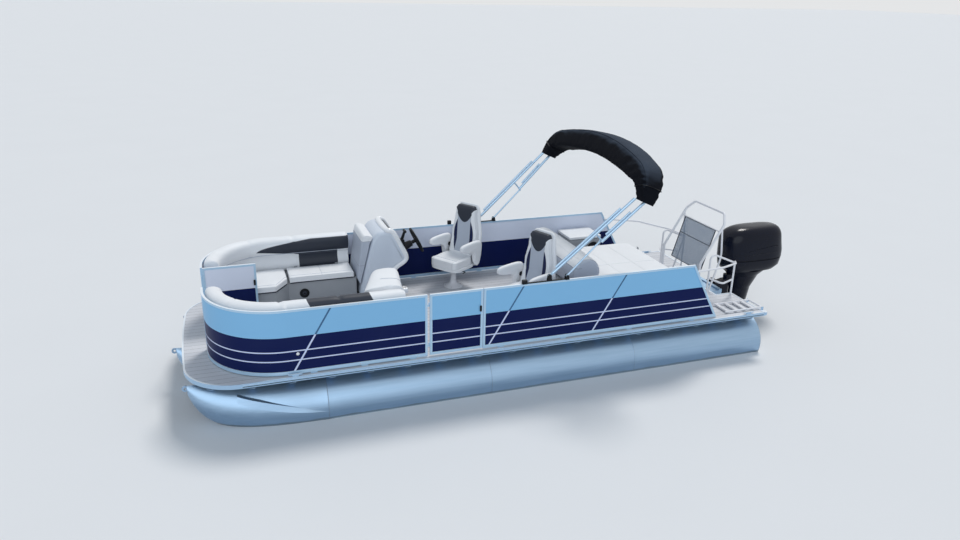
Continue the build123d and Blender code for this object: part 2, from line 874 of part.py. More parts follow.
with BuildPart() as pedestals:
    for at in (captain_at, mate_at):
        with BuildSketch(Plane.XY.offset(deck_top)):
            with Locations(at):
                Circle(135)
        extrude(amount=16, taper=20)
        with BuildSketch(Plane.XY.offset(deck_top)):
            with Locations(at):
                Circle(pedestal_radius)
        extrude(amount=pedestal_top - deck_top)
pedestals.part.label = "chair_pedestals"
export_step(pedestals.part, "parts/chair_pedestals.step")

# Aft lounge: a base with a storage hollow under the sun pad, the pad and a bolster
lounge_floor = pad_top - 100 - run_gap
bolster_aft = bolster_front - bolster_depth
pad_hinges = (pad_far + 300, pad_near - 300)
with BuildPart() as aft_base:
    with BuildSketch(Plane.XY.offset(deck_top)):
        with Locations(((bolster_front + pad_aft) / 2, (pad_far + pad_near) / 2)):
            RectangleRounded(bolster_front - pad_aft - 20, pad_near - pad_far - 40, 40)
    extrude(amount=lounge_floor - deck_top)
    with BuildSketch(Plane.XY.offset(deck_top + locker_wall)):
        with Locations(((bolster_aft + pad_aft) / 2 - 20, (pad_far + pad_near) / 2)):
            Rectangle(bolster_aft - pad_aft - 140, pad_near - pad_far - 140)
    extrude(amount=lounge_floor - deck_top, mode=Mode.SUBTRACT)
    # Fixed hinge knuckles behind the sun pad
    for y in pad_hinges:
        with BuildSketch(Plane.XZ.offset(-y)):
            with Locations((pad_aft, pad_top)):
                Circle(barrel_radius)
            Polygon(
                (pad_aft - leaf_gap, pad_top),
                (pad_aft - leaf_gap, pad_top - 112),
                (pad_aft + 11, pad_top - 112),
                (pad_aft + 11, pad_top - 160),
                (pad_aft - leaf_gap - leaf_thick, pad_top - 160),
                (pad_aft - leaf_gap - leaf_thick, pad_top),
                align=None,
            )
        extrude(amount=barrel_length)
aft_base.part.label = "aft_lounge_base"
export_step(aft_base.part, "parts/aft_lounge_base.step")

with BuildPart() as bolster:
    with BuildSketch(Plane.XZ.offset(-bolster_near)):
        low = lounge_floor
        with BuildLine():
            Polyline(
                (bolster_aft, 1180),
                (bolster_aft, low),
                (bolster_front - 30, low),
                (bolster_front, 1180),
            )
            ThreePointArc(
                (bolster_front, 1180),
                ((bolster_front + bolster_aft) / 2, bolster_top),
                (bolster_aft, 1180),
            )
        make_face()
    extrude(amount=bolster_near - pad_far)
    with BuildSketch(Plane.XZ.offset(-pad_far)):
        with BuildLine():
            Line((bolster_aft, 1180), (bolster_front, 1180))
            ThreePointArc(
                (bolster_front, 1180),
                ((bolster_front + bolster_aft) / 2, bolster_top),
                (bolster_aft, 1180),
            )
        make_face()
    extrude(amount=pad_far - bolster_far)
bolster.part.label = "aft_bolster"
export_step(bolster.part, "parts/aft_bolster.step")

with BuildPart() as sun_pad:
    with BuildSketch(Plane.XY.offset(lounge_floor + run_gap)):
        with Locations(((bolster_aft - 20 + pad_aft) / 2, (pad_far + pad_near) / 2)):
            RectangleRounded(bolster_aft - 20 - pad_aft, pad_near - pad_far, 90)
    extrude(amount=100)
    for y in pad_hinges:
        with BuildSketch(Plane.XZ.offset(-y - run_gap - barrel_length)):
            with Locations((pad_aft, pad_top)):
                Circle(barrel_radius)
        extrude(amount=barrel_length)
        with BuildSketch(Plane.XZ.offset(-y - run_gap)):
            with Locations((pad_aft, pad_top)):
                Circle(barrel_radius + 1)
        extrude(amount=barrel_length + 2 * run_gap, mode=Mode.SUBTRACT)
sun_pad.part.label = "sun_pad"
export_step(sun_pad.part, "parts/sun_pad.step")

# Storage box against the starboard fence, and its padded top
box_front = -1720
box_aft = -2230
box_port = -760
box_starboard = -1200
box_top = 1085
# columns: name, foot, top, overhang
boxes = [
    ("aft_locker", deck_top, box_top, 0),
    ("aft_locker_pad", box_top + run_gap, box_top + 48, 12),
]
for name, low, high, grow in boxes:
    with BuildPart() as box:
        with BuildSketch(Plane.XY.offset(low)):
            with Locations(((box_front + box_aft) / 2, (box_port + box_starboard) / 2)):
                RectangleRounded(box_front - box_aft + 2 * grow, box_port - box_starboard, 30)
        extrude(amount=high - low)
    box.part.label = name
    export_step(box.part, f"parts/{name}.step")

# Folding top. Its plane has x to port and y up the leaning legs.
lean = radians(top_rake)
legs_up = (-cos(lean), 0, sin(lean))
legs_normal = (sin(lean), 0, cos(lean))
rail_line = fence_side - rail / 2
boot_along = 1367
boot_drop = 107
boot_foot = (
    top_pivot[0] + boot_along * legs_up[0] - boot_drop * legs_normal[0],
    top_pivot[1] + boot_along * legs_up[2] - boot_drop * legs_normal[2],
)
brace_head = (
    top_pivot[0] + brace_up * legs_up[0] - second_drop * legs_normal[0],
    top_pivot[1] + brace_up * legs_up[2] - second_drop * legs_normal[2],
)
boot_lean = top_rake - 15.5
boot_up = (-sin(radians(boot_lean)), 0, cos(radians(boot_lean)))
boot_depth = 340
boot_inner = rail_line + 29.5
boot_outer = rail_line + 192.5
boot_inner_rise = 300
boot_outer_rise = 625
strut_offset = bow_tube + strut_tube + 6
boot_plane = Plane(
    origin=(boot_foot[0], 0, boot_foot[1]),
    x_dir=(0, 1, 0),
    z_dir=(cos(radians(boot_lean)), 0, sin(radians(boot_lean))),
)


def leg(start, end, radius):
    """Adds a straight round tube between two points."""
    axis = Vector(*end) - Vector(*start)
    with BuildSketch(Plane(origin=start, z_dir=axis.normalized())) as ring:
        Circle(radius)
    extrude(ring.sketch, amount=axis.length)


def on_top(y, along, out):
    """Point of the folding top, from its pivot line: up the legs and out from their plane."""
    return (
        top_pivot[0] + along * legs_up[0] + out * legs_normal[0],
        y,
        top_pivot[1] + along * legs_up[2] + out * legs_normal[2],
    )


eye_width = 16
# columns: foot half width and reach, head half width and reach, distances out from the legs' plane
main_leg = (rail_line + 2.5, 44, rail_line + 79.5, 1380, 0, 0)
second_leg = (rail_line + 35.5, brace_up, rail_line + 103.5, 1440, -second_drop, -second_drop + 20)
with BuildPart() as top_legs:
    for side in (1, -1):
        for foot_y, foot_at, head_y, head_at, foot_out, head_out in (main_leg, second_leg):
            leg(on_top(side * foot_y, foot_at, foot_out), on_top(side * head_y, head_at, head_out), bow_tube)
        # Tongue between the bracket's ears
        with BuildSketch(Plane.XZ.offset(-side * rail_line - eye_width / 2)):
            with Locations(top_pivot):
                Circle(18)
            with Locations(Location((top_pivot[0], top_pivot[1], 0), (0, 0, 180 - top_rake))):
                with Locations((40, 0)):
                    Rectangle(80, 22)
        extrude(amount=eye_width)
        # Struts folded back on the legs, each held by two clips
        for low, high, base, drop, y_low, y_high in (
            (120, 1120, 0, 0, rail_line + 7.5, rail_line + 65.5),
            (800, 1180, -second_drop + 3, 10, rail_line + 44.5, rail_line + 79.5),
        ):
            leg(
                on_top(side * y_low, low, base + strut_offset),
                on_top(side * y_high, high, base + drop + strut_offset),
                strut_tube,
            )
            for share in (0.12, 0.88):
                y = side * (y_low + share * (y_high - y_low))
                along = low + share * (high - low)
                leg(on_top(y, along, base + share * drop), on_top(y, along, base + share * drop + 30), 8)
        # Cross tube that ties the second leg to the main one
        tie_y = side * (rail_line + 37.5)
        leg(on_top(tie_y, brace_up + 11, -second_drop), on_top(tie_y, brace_up + 11, 0), strut_tube)
    with BuildSketch(Plane(origin=boot_plane.origin - Vector(0, 0, run_gap), x_dir=(0, 1, 0), z_dir=boot_up)):
        Rectangle(2 * boot_outer + 100, 2 * boot_depth)
    extrude(amount=400, mode=Mode.SUBTRACT)
top_legs.part.label = "top_legs"
export_step(top_legs.part, "parts/top_legs.step")

with BuildPart() as boot:
    with BuildSketch(boot_plane.offset(-boot_depth / 2)):
        with BuildLine():
            Line((boot_inner, 0), (boot_outer, 0))
            ThreePointArc((boot_outer, 0), (boot_outer - 60, 220), (boot_outer - 330, 440))
            ThreePointArc((boot_outer - 330, 440), (0, boot_outer_rise), (330 - boot_outer, 440))
            ThreePointArc((330 - boot_outer, 440), (60 - boot_outer, 220), (-boot_outer, 0))
            Line((-boot_outer, 0), (-boot_inner, 0))
            ThreePointArc((-boot_inner, 0), (60 - boot_inner, 95), (280 - boot_inner, 190))
            ThreePointArc((280 - boot_inner, 190), (0, boot_inner_rise), (boot_inner - 280, 190))
            ThreePointArc((boot_inner - 280, 190), (boot_inner - 60, 95), (boot_inner, 0))
        make_face()
    extrude(amount=boot_depth)
boot.part.label = "top_boot"
export_step(boot.part, "parts/top_boot.step")

# Braces that hold the folding top up, each beside its leg with a pivot eye at both ends
brace_side = main_leg[0] + 3
brace_eye = second_leg[0] - bow_tube - run_gap - brace_side
with BuildPart() as braces:
    for side in (1, -1):
        foot = (brace_foot[0], side * rail_line, brace_foot[1])
        head = (brace_head[0], side * brace_side, brace_head[1])
        leg(foot, head, strut_tube)
        for y, (pin_x, pin_z), half in ((rail_line, brace_foot, 8), (brace_side, brace_head, brace_eye)):
            with BuildSketch(Plane.XZ.offset(-side * y)):
                with Locations((pin_x, pin_z)):
                    Circle(14)
            extrude(amount=half, both=True)
braces.part.label = "top_braces"
export_step(braces.part, "parts/top_braces.step")

# Brackets on the rails for the legs and braces, with a low track ahead of them
ear = 6
track = 8
# columns: pin, half length at the foot, half of the clear width between the ears
forks = [
    (top_pivot, 30, eye_width / 2 + run_gap),
    (brace_foot, 24, strut_tube + 8),
]
with BuildPart() as mounts:
    for side in (1, -1):
        for (pin_x, pin_z), half, clear in forks:
            for shift in (clear, -clear - ear):
                with BuildSketch(Plane.XZ.offset(-side * rail_line + shift)):
                    with BuildLine():
                        Polyline((pin_x + half, fence_top + 2), (pin_x + half - 8, pin_z))
                        ThreePointArc(
                            (pin_x + half - 8, pin_z),
                            (pin_x, pin_z + half - 8),
                            (pin_x - half + 8, pin_z),
                        )
                        Polyline((pin_x - half + 8, pin_z), (pin_x - half, fence_top + 2))
                        Line((pin_x - half, fence_top + 2), (pin_x + half, fence_top + 2))
                    make_face()
                extrude(amount=ear)
            with BuildSketch(Plane.XY.offset(fence_top)):
                with Locations((pin_x, side * rail_line)):
                    Rectangle(2 * half, 2 * (clear + ear))
            extrude(amount=track)
        with BuildSketch(Plane.XY.offset(fence_top)):
            with Locations(((brace_foot[0] - 200) / 2, side * rail_line)):
                Rectangle(-200 - brace_foot[0], rail + 4)
        extrude(amount=track)
        with BuildSketch(Plane.XY.offset(fence_top)):
            with Locations((-170, side * rail_line)):
                RectangleRounded(60, 46, 8)
        extrude(amount=44)
mounts.part.label = "top_mounts"
export_step(mounts.part, "parts/top_mounts.step")

# Stern rails, tow arch and mesh. Each path is a list of corner points with its bend radius.
rail_tube = 13
rail_post = (stern + 40, 610)
inner_post = (stern + 430, 590)
port_rail_paths = [
    (
        [
            (fence_x(1228) + 20, fence_side - rail - rail_tube, 1228),
            (stern + 580, 1075, 1190),
            (stern + 180, 800, 1110),
            (*rail_post, 1060),
            (*rail_post, deck_top),
        ],
        45,
    ),
    ([(*inner_post, deck_top), (*inner_post, 1205), (*rail_post, 1040)], 60),
    ([(*inner_post, 850), (stern + 338, 780, 826), (*rail_post, 800)], 60),
]


def bent_tube(points, radius, bend):
    """Adds a round tube along corner points with a bend at each inner one."""
    with BuildLine() as path:
        if bend and len(points) > 2:
            FilletPolyline(*points, radius=bend)
        else:
            Polyline(*points)
    start = path.line @ 0
    heading = path.line % 0
    with BuildSketch(Plane(origin=start, z_dir=heading)) as ring:
        Circle(radius)
    sweep(ring.sketch, path=path.line)


with BuildPart() as stern_rails:
    for points, bend in port_rail_paths:
        bent_tube(points, rail_tube, bend)
    mirror(about=Plane.XZ)
stern_rails.part.label = "stern_rails"
export_step(stern_rails.part, "parts/stern_rails.step")

arch_tube = 17
with BuildPart() as arch:
    bent_tube(
        [
            (-3115, 452, deck_top),
            (-3115, 452, 1010),
            (-3425, 450, 1545),
            (-3490, 340, 1670),
            (-3490, -340, 1670),
            (-3425, -450, 1545),
            (-3115, -452, 1010),
            (-3115, -452, deck_top),
        ],
        arch_tube,
        70,
    )
    for side in (1, -1):
        bent_tube(
            [(-3300, side * 455, deck_top + 7), (-3445, side * 452, 1080), (-3400, side * 450, 1500)],
            rail_tube,
            500,
        )
        with BuildSketch(Plane.XY.offset(deck_top)):
            with Locations((-3207, side * 453)):
                RectangleRounded(230, 70, 20)
        extrude(amount=8)
    bent_tube([(-3368, 440, 1452), (-3368, -440, 1452)], rail_tube - 3, 0)
arch.part.label = "tow_arch"
export_step(arch.part, "parts/tow_arch.step")

mesh_top = (-3365, 1442)
mesh_foot = (-3200, 860)
with BuildPart() as mesh:
    with BuildSketch(Plane.XZ.offset(-360)):
        Polygon(
            mesh_top,
            mesh_foot,
            (mesh_foot[0] + 6, mesh_foot[1]),
            (mesh_top[0] + 6, mesh_top[1]),
            align=None,
        )
    extrude(amount=720)
mesh.part.label = "stern_mesh"
export_step(mesh.part, "parts/stern_mesh.step")

# Boarding ladder, folded forward on the stern deck; its hinge is behind the deck's edge
ladder_hinge = (stern - 24, deck_top + 26)
ladder_near = 1180
ladder_far = 915
ladder_length = 570
ladder_tube = 12
with BuildPart() as ladder:
    for y in (ladder_far, ladder_near):
        hinge_end = (ladder_hinge[0], y, ladder_hinge[1])
        free_end = (ladder_hinge[0] + ladder_length, y, ladder_hinge[1])
        leg(hinge_end, free_end, ladder_tube)
    for step in (130, 260, 390, ladder_length - 40):
        with BuildSketch(Plane.XZ.offset(-ladder_near)):
            with Locations((ladder_hinge[0] + step, ladder_hinge[1])):
                RectangleRounded(46, 22, 8)
        extrude(amount=ladder_near - ladder_far)
    with BuildSketch(Plane.XZ.offset(-ladder_near - 14)):
        with Locations(ladder_hinge):
            Circle(14)
    extrude(amount=ladder_near - ladder_far + 28)
ladder.part.label = "boarding_ladder"
export_step(ladder.part, "parts/boarding_ladder.step")

with BuildPart() as ladder_mount:
    for y in (ladder_far - 14 - run_gap - 8, ladder_near + 14 + run_gap):
        with BuildSketch(Plane.XZ.offset(-y - 8)):
            Polygon(
                (stern, deck_top - 40),
                (stern, deck_top + 3),
                (ladder_hinge[0] + 6, ladder_hinge[1] + 16),
                (ladder_hinge[0] - 16, ladder_hinge[1] + 8),
                (ladder_hinge[0] - 16, deck_top - 10),
                align=None,
            )
        extrude(amount=8)
ladder_mount.part.label = "ladder_brackets"
export_step(ladder_mount.part, "parts/ladder_brackets.step")

# Outboard motor: clamp bracket, swivel bracket, leg, cowl and propeller
clamp_gap = 92
clamp_thick = 16
with BuildPart() as clamp:
    for side in (1, -1):
        with BuildSketch(Plane.XZ.offset(-side * clamp_gap - (0 if side < 0 else clamp_thick))):
            Polygon(
                (transom_aft, transom_top - 4),
                (transom_aft, 110),
                (transom_aft - 60, 90),
                (tilt_axis[0] - 34, 380),
                (tilt_axis[0] - 34, tilt_axis[1] + 20),
                (tilt_axis[0] + 20, tilt_axis[1] + 44),
                align=None,
            )
        extrude(amount=clamp_thick)
clamp.part.label = "clamp_bracket"
export_step(clamp.part, "parts/clamp_bracket.step")

tilt_tube = 24
swivel_radius = 46
swivel_low = 96
swivel_high = 560
swivel_half = clamp_gap - run_gap
with BuildPart() as swivel:
    with BuildSketch(Plane.XZ.offset(-swivel_half)):
        with Locations(tilt_axis):
            Circle(tilt_tube + 10)
    extrude(amount=2 * swivel_half)
    with BuildSketch(Plane.XZ.offset(-46)):
        Polygon(
            (tilt_axis[0] + 10, tilt_axis[1] + 20),
            (tilt_axis[0] + 10, tilt_axis[1] - 120),
            (steer_x + 30, swivel_low + 60),
            (steer_x, swivel_low + 60),
            (steer_x, swivel_high - 10),
            (steer_x + 60, swivel_high - 10),
            align=None,
        )
    extrude(amount=92)
    with BuildSketch(Plane.XY.offset(swivel_low)):
        with Locations((steer_x, 0)):
            Circle(swivel_radius)
    extrude(amount=swivel_high - swivel_low)
swivel.part.label = "swivel_bracket"
export_step(swivel.part, "parts/swivel_bracket.step")

cowl_low = 690
plate_z = -170
# columns: height, middle aft of the steering axis, length, width
leg_sections = [
    (-300, 195, 300, 74),
    (-185, 205, 330, 96),
    (60, 230, 330, 150),
    (400, 255, 380, 230),
    (600, 295, 520, 330),
    (cowl_low - run_gap, 335, 780, 400),
]


def boat_foil(x, length, width):
    """Adds a pointed oval, the section of the motor's leg."""
    half = width / 2
    with BuildLine() as outline:
        ThreePointArc((x + length / 2, 0), (x + length * 0.12, half), (x - length / 2, 0))
        ThreePointArc((x - length / 2, 0), (x + length * 0.12, -half), (x + length / 2, 0))
    make_face(outline.edges())


with BuildPart() as motor_leg:
    for z, behind, length, width in leg_sections:
        with BuildSketch(Plane.XY.offset(z)):
            boat_foil(steer_x - behind, length, width)
    loft(ruled=True)
    # Room for the swivel bracket, which the leg holds above and below
    with BuildSketch(Plane.XZ.offset(-240)):
        Polygon(
            (steer_x - swivel_radius - 12, swivel_low - 1),
            (steer_x - swivel_radius - 12, swivel_high + 1),
            (steer_x + 500, swivel_high + 1),
            (steer_x + 500, swivel_low - 1),
            align=None,
        )
    extrude(amount=480, mode=Mode.SUBTRACT)
    yokes = [(swivel_low - 70, swivel_low - run_gap), (swivel_high + run_gap, swivel_high + 60)]
    for low, high in yokes:
        with BuildSketch(Plane.XY.offset(low)):
            with Locations((steer_x, 0)):
                Circle(swivel_radius)
            with Locations((steer_x - 90, 0)):
                Rectangle(180, 2 * swivel_radius)
        extrude(amount=high - low)
    # Plate above the propeller, and the gearcase with its skeg
    with BuildSketch(Plane.XY.offset(plate_z)):
        with Locations((steer_x - 315, 0)):
            SlotOverall(620, 250)
    extrude(amount=8)
    gear_front = steer_x + 5
    gear_aft = propeller_front + 6
    with BuildSketch(Plane.XZ):
        with BuildLine():
            ThreePointArc(
                (gear_front, shaft_z),
                (gear_front - 60, shaft_z + 44),
                (gear_front - 160, shaft_z + 62),
            )
            Polyline(
                (gear_front - 160, shaft_z + 62),
                (gear_aft + 120, shaft_z + 62),
                (gear_aft, shaft_z + 50),
                (gear_aft, shaft_z),
                (gear_front, shaft_z),
            )
        make_face()
    revolve(axis=Axis((0, 0, shaft_z), (1, 0, 0)))
    with BuildSketch(Plane.XZ.offset(-6)):
        Polygon(
            (steer_x - 85, shaft_z - 40),
            (steer_x - 355, shaft_z - 240),
            (steer_x - 445, shaft_z - 240),
            (steer_x - 395, shaft_z - 40),
            align=None,
        )
    extrude(amount=12)
    with BuildSketch(Plane.XZ.offset(-30)):
        Polygon(
            (steer_x - 85, shaft_z + 40),
            (steer_x - 85, plate_z - 10),
            (steer_x - 345, plate_z - 10),
            (steer_x - 405, shaft_z + 40),
            align=None,
        )
    extrude(amount=60)
motor_leg.part.label = "motor_leg"
export_step(motor_leg.part, "parts/motor_leg.step")

# Cowl: lofted over three levels, hollow round a plain powerhead block
# columns: height, middle aft of the steering axis, length, width, corner radius
cowl_sections = [
    (cowl_low, 345, 840, 420, 150),
    (760, 352, 940, 480, 180),
    (900, 352, 965, 500, 190),
    (1150, 325, 930, 480, 180),
    (1290, 315, 800, 400, 160),
    (1345, 315, 600, 260, 120),
]
engine_size = (460, 300, 360)
engine_at = (steer_x - 335, 0, 960)
with BuildPart() as cowl:
    for z, behind, length, width, corner_r in cowl_sections:
        with BuildSketch(Plane.XY.offset(z)):
            with Locations((steer_x - behind, 0)):
                RectangleRounded(length, width, corner_r)
    loft()
    with Locations(engine_at):
        Box(*[size + 10 for size in engine_size], mode=Mode.SUBTRACT)
cowl.part.label = "motor_cowl"
export_step(cowl.part, "parts/motor_cowl.step")

with BuildPart() as engine:
    with Locations((engine_at[0], 0, engine_at[2] - 4.7)):
        Box(*engine_size)
engine.part.label = "powerhead"
export_step(engine.part, "parts/powerhead.step")

# Propeller: three blades lofted along the helix of its pitch, on a flared hub
hub = 52
hub_length = 130
blade_roots = [
    (0.24, 92, 13),
    (0.55, 150, 9),
    (0.82, 150, 6),
    (1.00, 60, 3),
]
with BuildPart() as propeller:
    with BuildSketch(Plane.YZ.offset(propeller_front - 0.5)):
        with Locations((0, shaft_z)):
            Circle(hub)
    extrude(amount=-hub_length, taper=-3)
    for blade in range(3):
        turn = blade * 120
        sections = []
        for share, chord, thick in blade_roots:
            radius = share * propeller_radius
            twist = degrees(atan2(propeller_pitch, 2 * 3.1416 * radius))
            out = (0, cos(radians(turn + 90)), sin(radians(turn + 90)))
            across = Vector(0, -out[2], out[1])
            chord_dir = Vector(-1, 0, 0) * sin(radians(twist)) + across * cos(radians(twist))
            middle = propeller_front - hub_length / 2 - 6
            origin = (middle, out[1] * radius, shaft_z + out[2] * radius)
            with BuildSketch(Plane(origin=origin, x_dir=chord_dir, z_dir=out)) as section:
                with BuildLine():
                    ThreePointArc((-chord / 2, 0), (0, thick / 2 + chord * 0.05), (chord / 2, 0))
                    ThreePointArc((chord / 2, 0), (0, -thick / 2 + chord * 0.05), (-chord / 2, 0))
                make_face()
            sections.append(section.sketch)
        loft(sections)
propeller.part.label = "propeller"
export_step(propeller.part, "parts/propeller.step")

# Cleats on the deck edge and a light on the bow panel
cleat_z = deck_top + edge_lip
with BuildPart() as fittings:
    for x in (2450, -3350):
        for side in (1, -1):
            with BuildSketch(Plane.XY.offset(cleat_z)):
                with Locations((x, side * (half_beam - 22))):
                    RectangleRounded(70, 22, 8)
            extrude(amount=16)
            with BuildSketch(Plane.XY.offset(cleat_z + 16)):
                with Locations((x, side * (half_beam - 22))):
                    RectangleRounded(150, 18, 8)
            extrude(amount=12)
fittings.part.label = "cleats"
export_step(fittings.part, "parts/cleats.step")
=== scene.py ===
import cmath
import json
import math

import bmesh
import bpy
from mathutils import Matrix, Vector, noise
from mathutils.bvhtree import BVHTree


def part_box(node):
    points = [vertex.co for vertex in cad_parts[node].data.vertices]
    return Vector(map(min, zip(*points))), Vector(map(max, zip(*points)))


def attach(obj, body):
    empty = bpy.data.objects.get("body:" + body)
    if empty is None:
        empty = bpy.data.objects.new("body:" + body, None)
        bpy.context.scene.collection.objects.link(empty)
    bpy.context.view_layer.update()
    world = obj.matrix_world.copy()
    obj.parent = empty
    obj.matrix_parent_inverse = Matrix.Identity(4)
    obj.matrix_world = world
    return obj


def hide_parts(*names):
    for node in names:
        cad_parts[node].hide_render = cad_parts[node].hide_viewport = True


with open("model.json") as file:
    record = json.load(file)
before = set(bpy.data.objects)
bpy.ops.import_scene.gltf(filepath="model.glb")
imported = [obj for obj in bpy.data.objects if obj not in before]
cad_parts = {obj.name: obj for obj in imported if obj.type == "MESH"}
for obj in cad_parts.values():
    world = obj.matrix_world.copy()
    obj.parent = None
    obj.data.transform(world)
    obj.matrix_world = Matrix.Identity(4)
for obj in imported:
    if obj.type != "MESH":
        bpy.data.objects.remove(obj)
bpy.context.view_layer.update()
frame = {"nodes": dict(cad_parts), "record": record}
cad = frame["nodes"]
scene = bpy.context.scene

# Places are in metres in the boat's frame: +X to the bow, +Y to port, Z up from the waterline

FORE, ASIDE, UP, DOWN = (1, 0, 0), (0, 1, 0), (0, 0, 1), (0, 0, -1)
TUBE_SIDE, TUBE_HEIGHT, TUBE_AFT, TUBE_SECTION = 0.98, 0.12, -3.60, 1.905
BEAD_RING = 0.3185
DECK_SKIN, DECK_TOP = 0.572, 0.5805
PLANK = 0.092
FENCE_SIDE, PANEL_INSET = 1.245, 0.0125
BOW_X, BOW_Y, BOW_RADIUS = 2.505, 0.425, 0.82
BAND_FOOT, STRIPES, STRIPE_HALF = 1.026, (0.754, 0.861), 0.007
ACCENTS, ACCENT_HALF, ACCENT_LEAN, ACCENT_FOOT = (2.46, 0.255, -1.08), 0.011, 0.6, 0.615
NET_HOLE, NET_STRAND = 0.008, 0.55
SEAM_HALF = 0.003
WHEEL_CENTRE, WHEEL_AXIS = Vector((0.56, -0.82, 1.285)), Vector((0.898794, 0, -0.438371))
CHAIRS = {"captain": ((0.044, -0.78), 34), "mate": ((-0.42, 0.62), 24)}

# Materials

WHITE, PEARL = (0.85, 0.86, 0.88), (0.48, 0.52, 0.60)
CHARCOAL, NAVY = (0.030, 0.036, 0.052), (0.006, 0.012, 0.060)
SOCKETS = {
    "colour": "Base Color",
    "rough": "Roughness",
    "metal": "Metallic",
    "shine": "Specular IOR Level",
    "coat": "Coat Weight",
    "coat_rough": "Coat Roughness",
    "sheen": "Sheen Weight",
    "alpha": "Alpha",
    "normal": "Normal",
}


def with_values(thing, **values):
    """Sets attributes on a thing and gives it back."""
    for key, value in values.items():
        setattr(thing, key, value)
    return thing


def placed(name, data):
    """Puts an object in the scene, made of its data."""
    made = bpy.data.objects.new(name, data)
    scene.collection.objects.link(made)
    return made


def operator(operation, swapped=False):
    """A method that works out something from two values."""
    if swapped:
        return lambda a, b: a.net.math(operation, b, a)
    return lambda a, b: a.net.math(operation, a, b)


class Wire:
    """A value in a material. Sums, comparisons, & and | of wires add the nodes that work them out."""

    def __init__(self, net, socket):
        self.net, self.socket = net, socket

    __add__ = __radd__ = operator("ADD")
    __sub__, __rsub__ = operator("SUBTRACT"), operator("SUBTRACT", swapped=True)
    __mul__ = __and__ = operator("MULTIPLY")
    __truediv__ = operator("DIVIDE")
    __gt__, __lt__ = operator("GREATER_THAN"), operator("LESS_THAN")
    __or__ = operator("MAXIMUM")

    def __abs__(self):
        return self.net.math("ABSOLUTE", self)

    def near(self, centre, half):
        """1 where the value is within half of the centre."""
        return self.net.math("COMPARE", self, centre, half)

    def within(self, low, high):
        """1 where the value lies between two others."""
        return (self > low) & (self < high)

    def ranged(self, low, high, start=0.0, end=1.0):
        """The value, with what runs from start to end stretched to run from low to high."""
        ends = {"Value": self, "From Min": start, "From Max": end, "To Min": low, "To Max": high}
        return self.net.node("MapRange", 0, ends)


class Net:
    """A principled material, or the world, and the wires into it."""

    def __init__(self, name, kind=bpy.data.materials):
        self.owner = with_values(kind.new(name), use_nodes=True)
        self.tree = self.owner.node_tree
        self.place = self.node("TexCoord", "Object")

    def feed(self, socket, value):
        if isinstance(value, Wire):
            self.tree.links.new(value.socket, socket)
        else:
            socket.default_value = (*value, 1.0) if socket.type == "RGBA" else value

    def node(self, kind, result, inputs=None, **values):
        """Adds a node, feeds its inputs and gives one of its results."""
        made = with_values(self.tree.nodes.new("ShaderNode" + kind), **values)
        for socket, value in (inputs or {}).items():
            self.feed(made.inputs[socket], value)
        return Wire(self, made.outputs[result])

    def math(self, operation, *values):
        return self.node("Math", 0, dict(enumerate(values)), operation=operation)

    def mix(self, share, a, b):
        return self.node("Mix", 2, {0: share, 6: a, 7: b}, data_type="RGBA")

    def split(self, vector):
        made = self.tree.nodes.new("ShaderNodeSeparateXYZ")
        self.feed(made.inputs[0], vector)
        return [Wire(self, output) for output in made.outputs]

    def axes(self):
        return self.split(self.place)

    def facing(self):
        """The surface's direction, as three numbers."""
        return self.split(self.node("NewGeometry", "Normal"))

    def stretched(self, stretch, turn=(0, 0, 0)):
        return self.node("Mapping", 0, {"Vector": self.place, "Scale": stretch, "Rotation": turn})

    def noise(self, scale, stretch=(1, 1, 1), detail=3.0):
        inputs = {"Vector": self.stretched(stretch), "Scale": scale, "Detail": detail}
        return self.node("TexNoise", "Fac", inputs)

    def bands(self, scale, axis, turn=(0, 0, 0)):
        inputs = {"Vector": self.stretched((1, 1, 1), turn), "Scale": scale}
        return self.node("TexWave", "Fac", inputs, bands_direction=axis, wave_profile="SIN")

    def finish(self, relief=None, **values):
        """Feeds the shader; relief is a height, its strength and its distance."""
        if relief:
            values["normal"] = self.node("Bump", 0, dict(zip(("Height", "Strength", "Distance"), relief)))
        for word, value in values.items():
            self.feed(self.tree.nodes["Principled BSDF"].inputs[SOCKETS[word]], value)
        return self.owner


def scaled(colour, share):
    return tuple(min(1.0, c * share) for c in colour)


def surface(name, colour, rough, grain, metal=0.0, vary=0.06, coat=0.0, sheen=0.0, shine=0.5):
    """A plain finish with uneven colour; grain is its kind, scale, strength and distance."""
    net = Net(name)
    kind, scale, strength, distance = grain
    if kind == "weave":
        height = net.bands(scale, "X") * net.bands(scale, "DIAGONAL", (0.6, 0.3, 0.8))
    else:
        stretch = {"even": (1, 1, 1), "brushed": (0.03, 1, 1), "bristle": (1, 1, 0.03)}[kind]
        height = net.noise(scale, stretch)
    wear = net.noise(5.0, detail=5.0)
    return net.finish(
        (height, strength, distance),
        colour=net.mix(wear, scaled(colour, 1 - vary), scaled(colour, 1 + vary)),
        rough=net.noise(30.0).ranged(rough * 0.8, min(1.0, rough * 1.2)),
        metal=metal,
        coat=coat,
        coat_rough=0.08,
        sheen=sheen,
        shine=shine,
    )


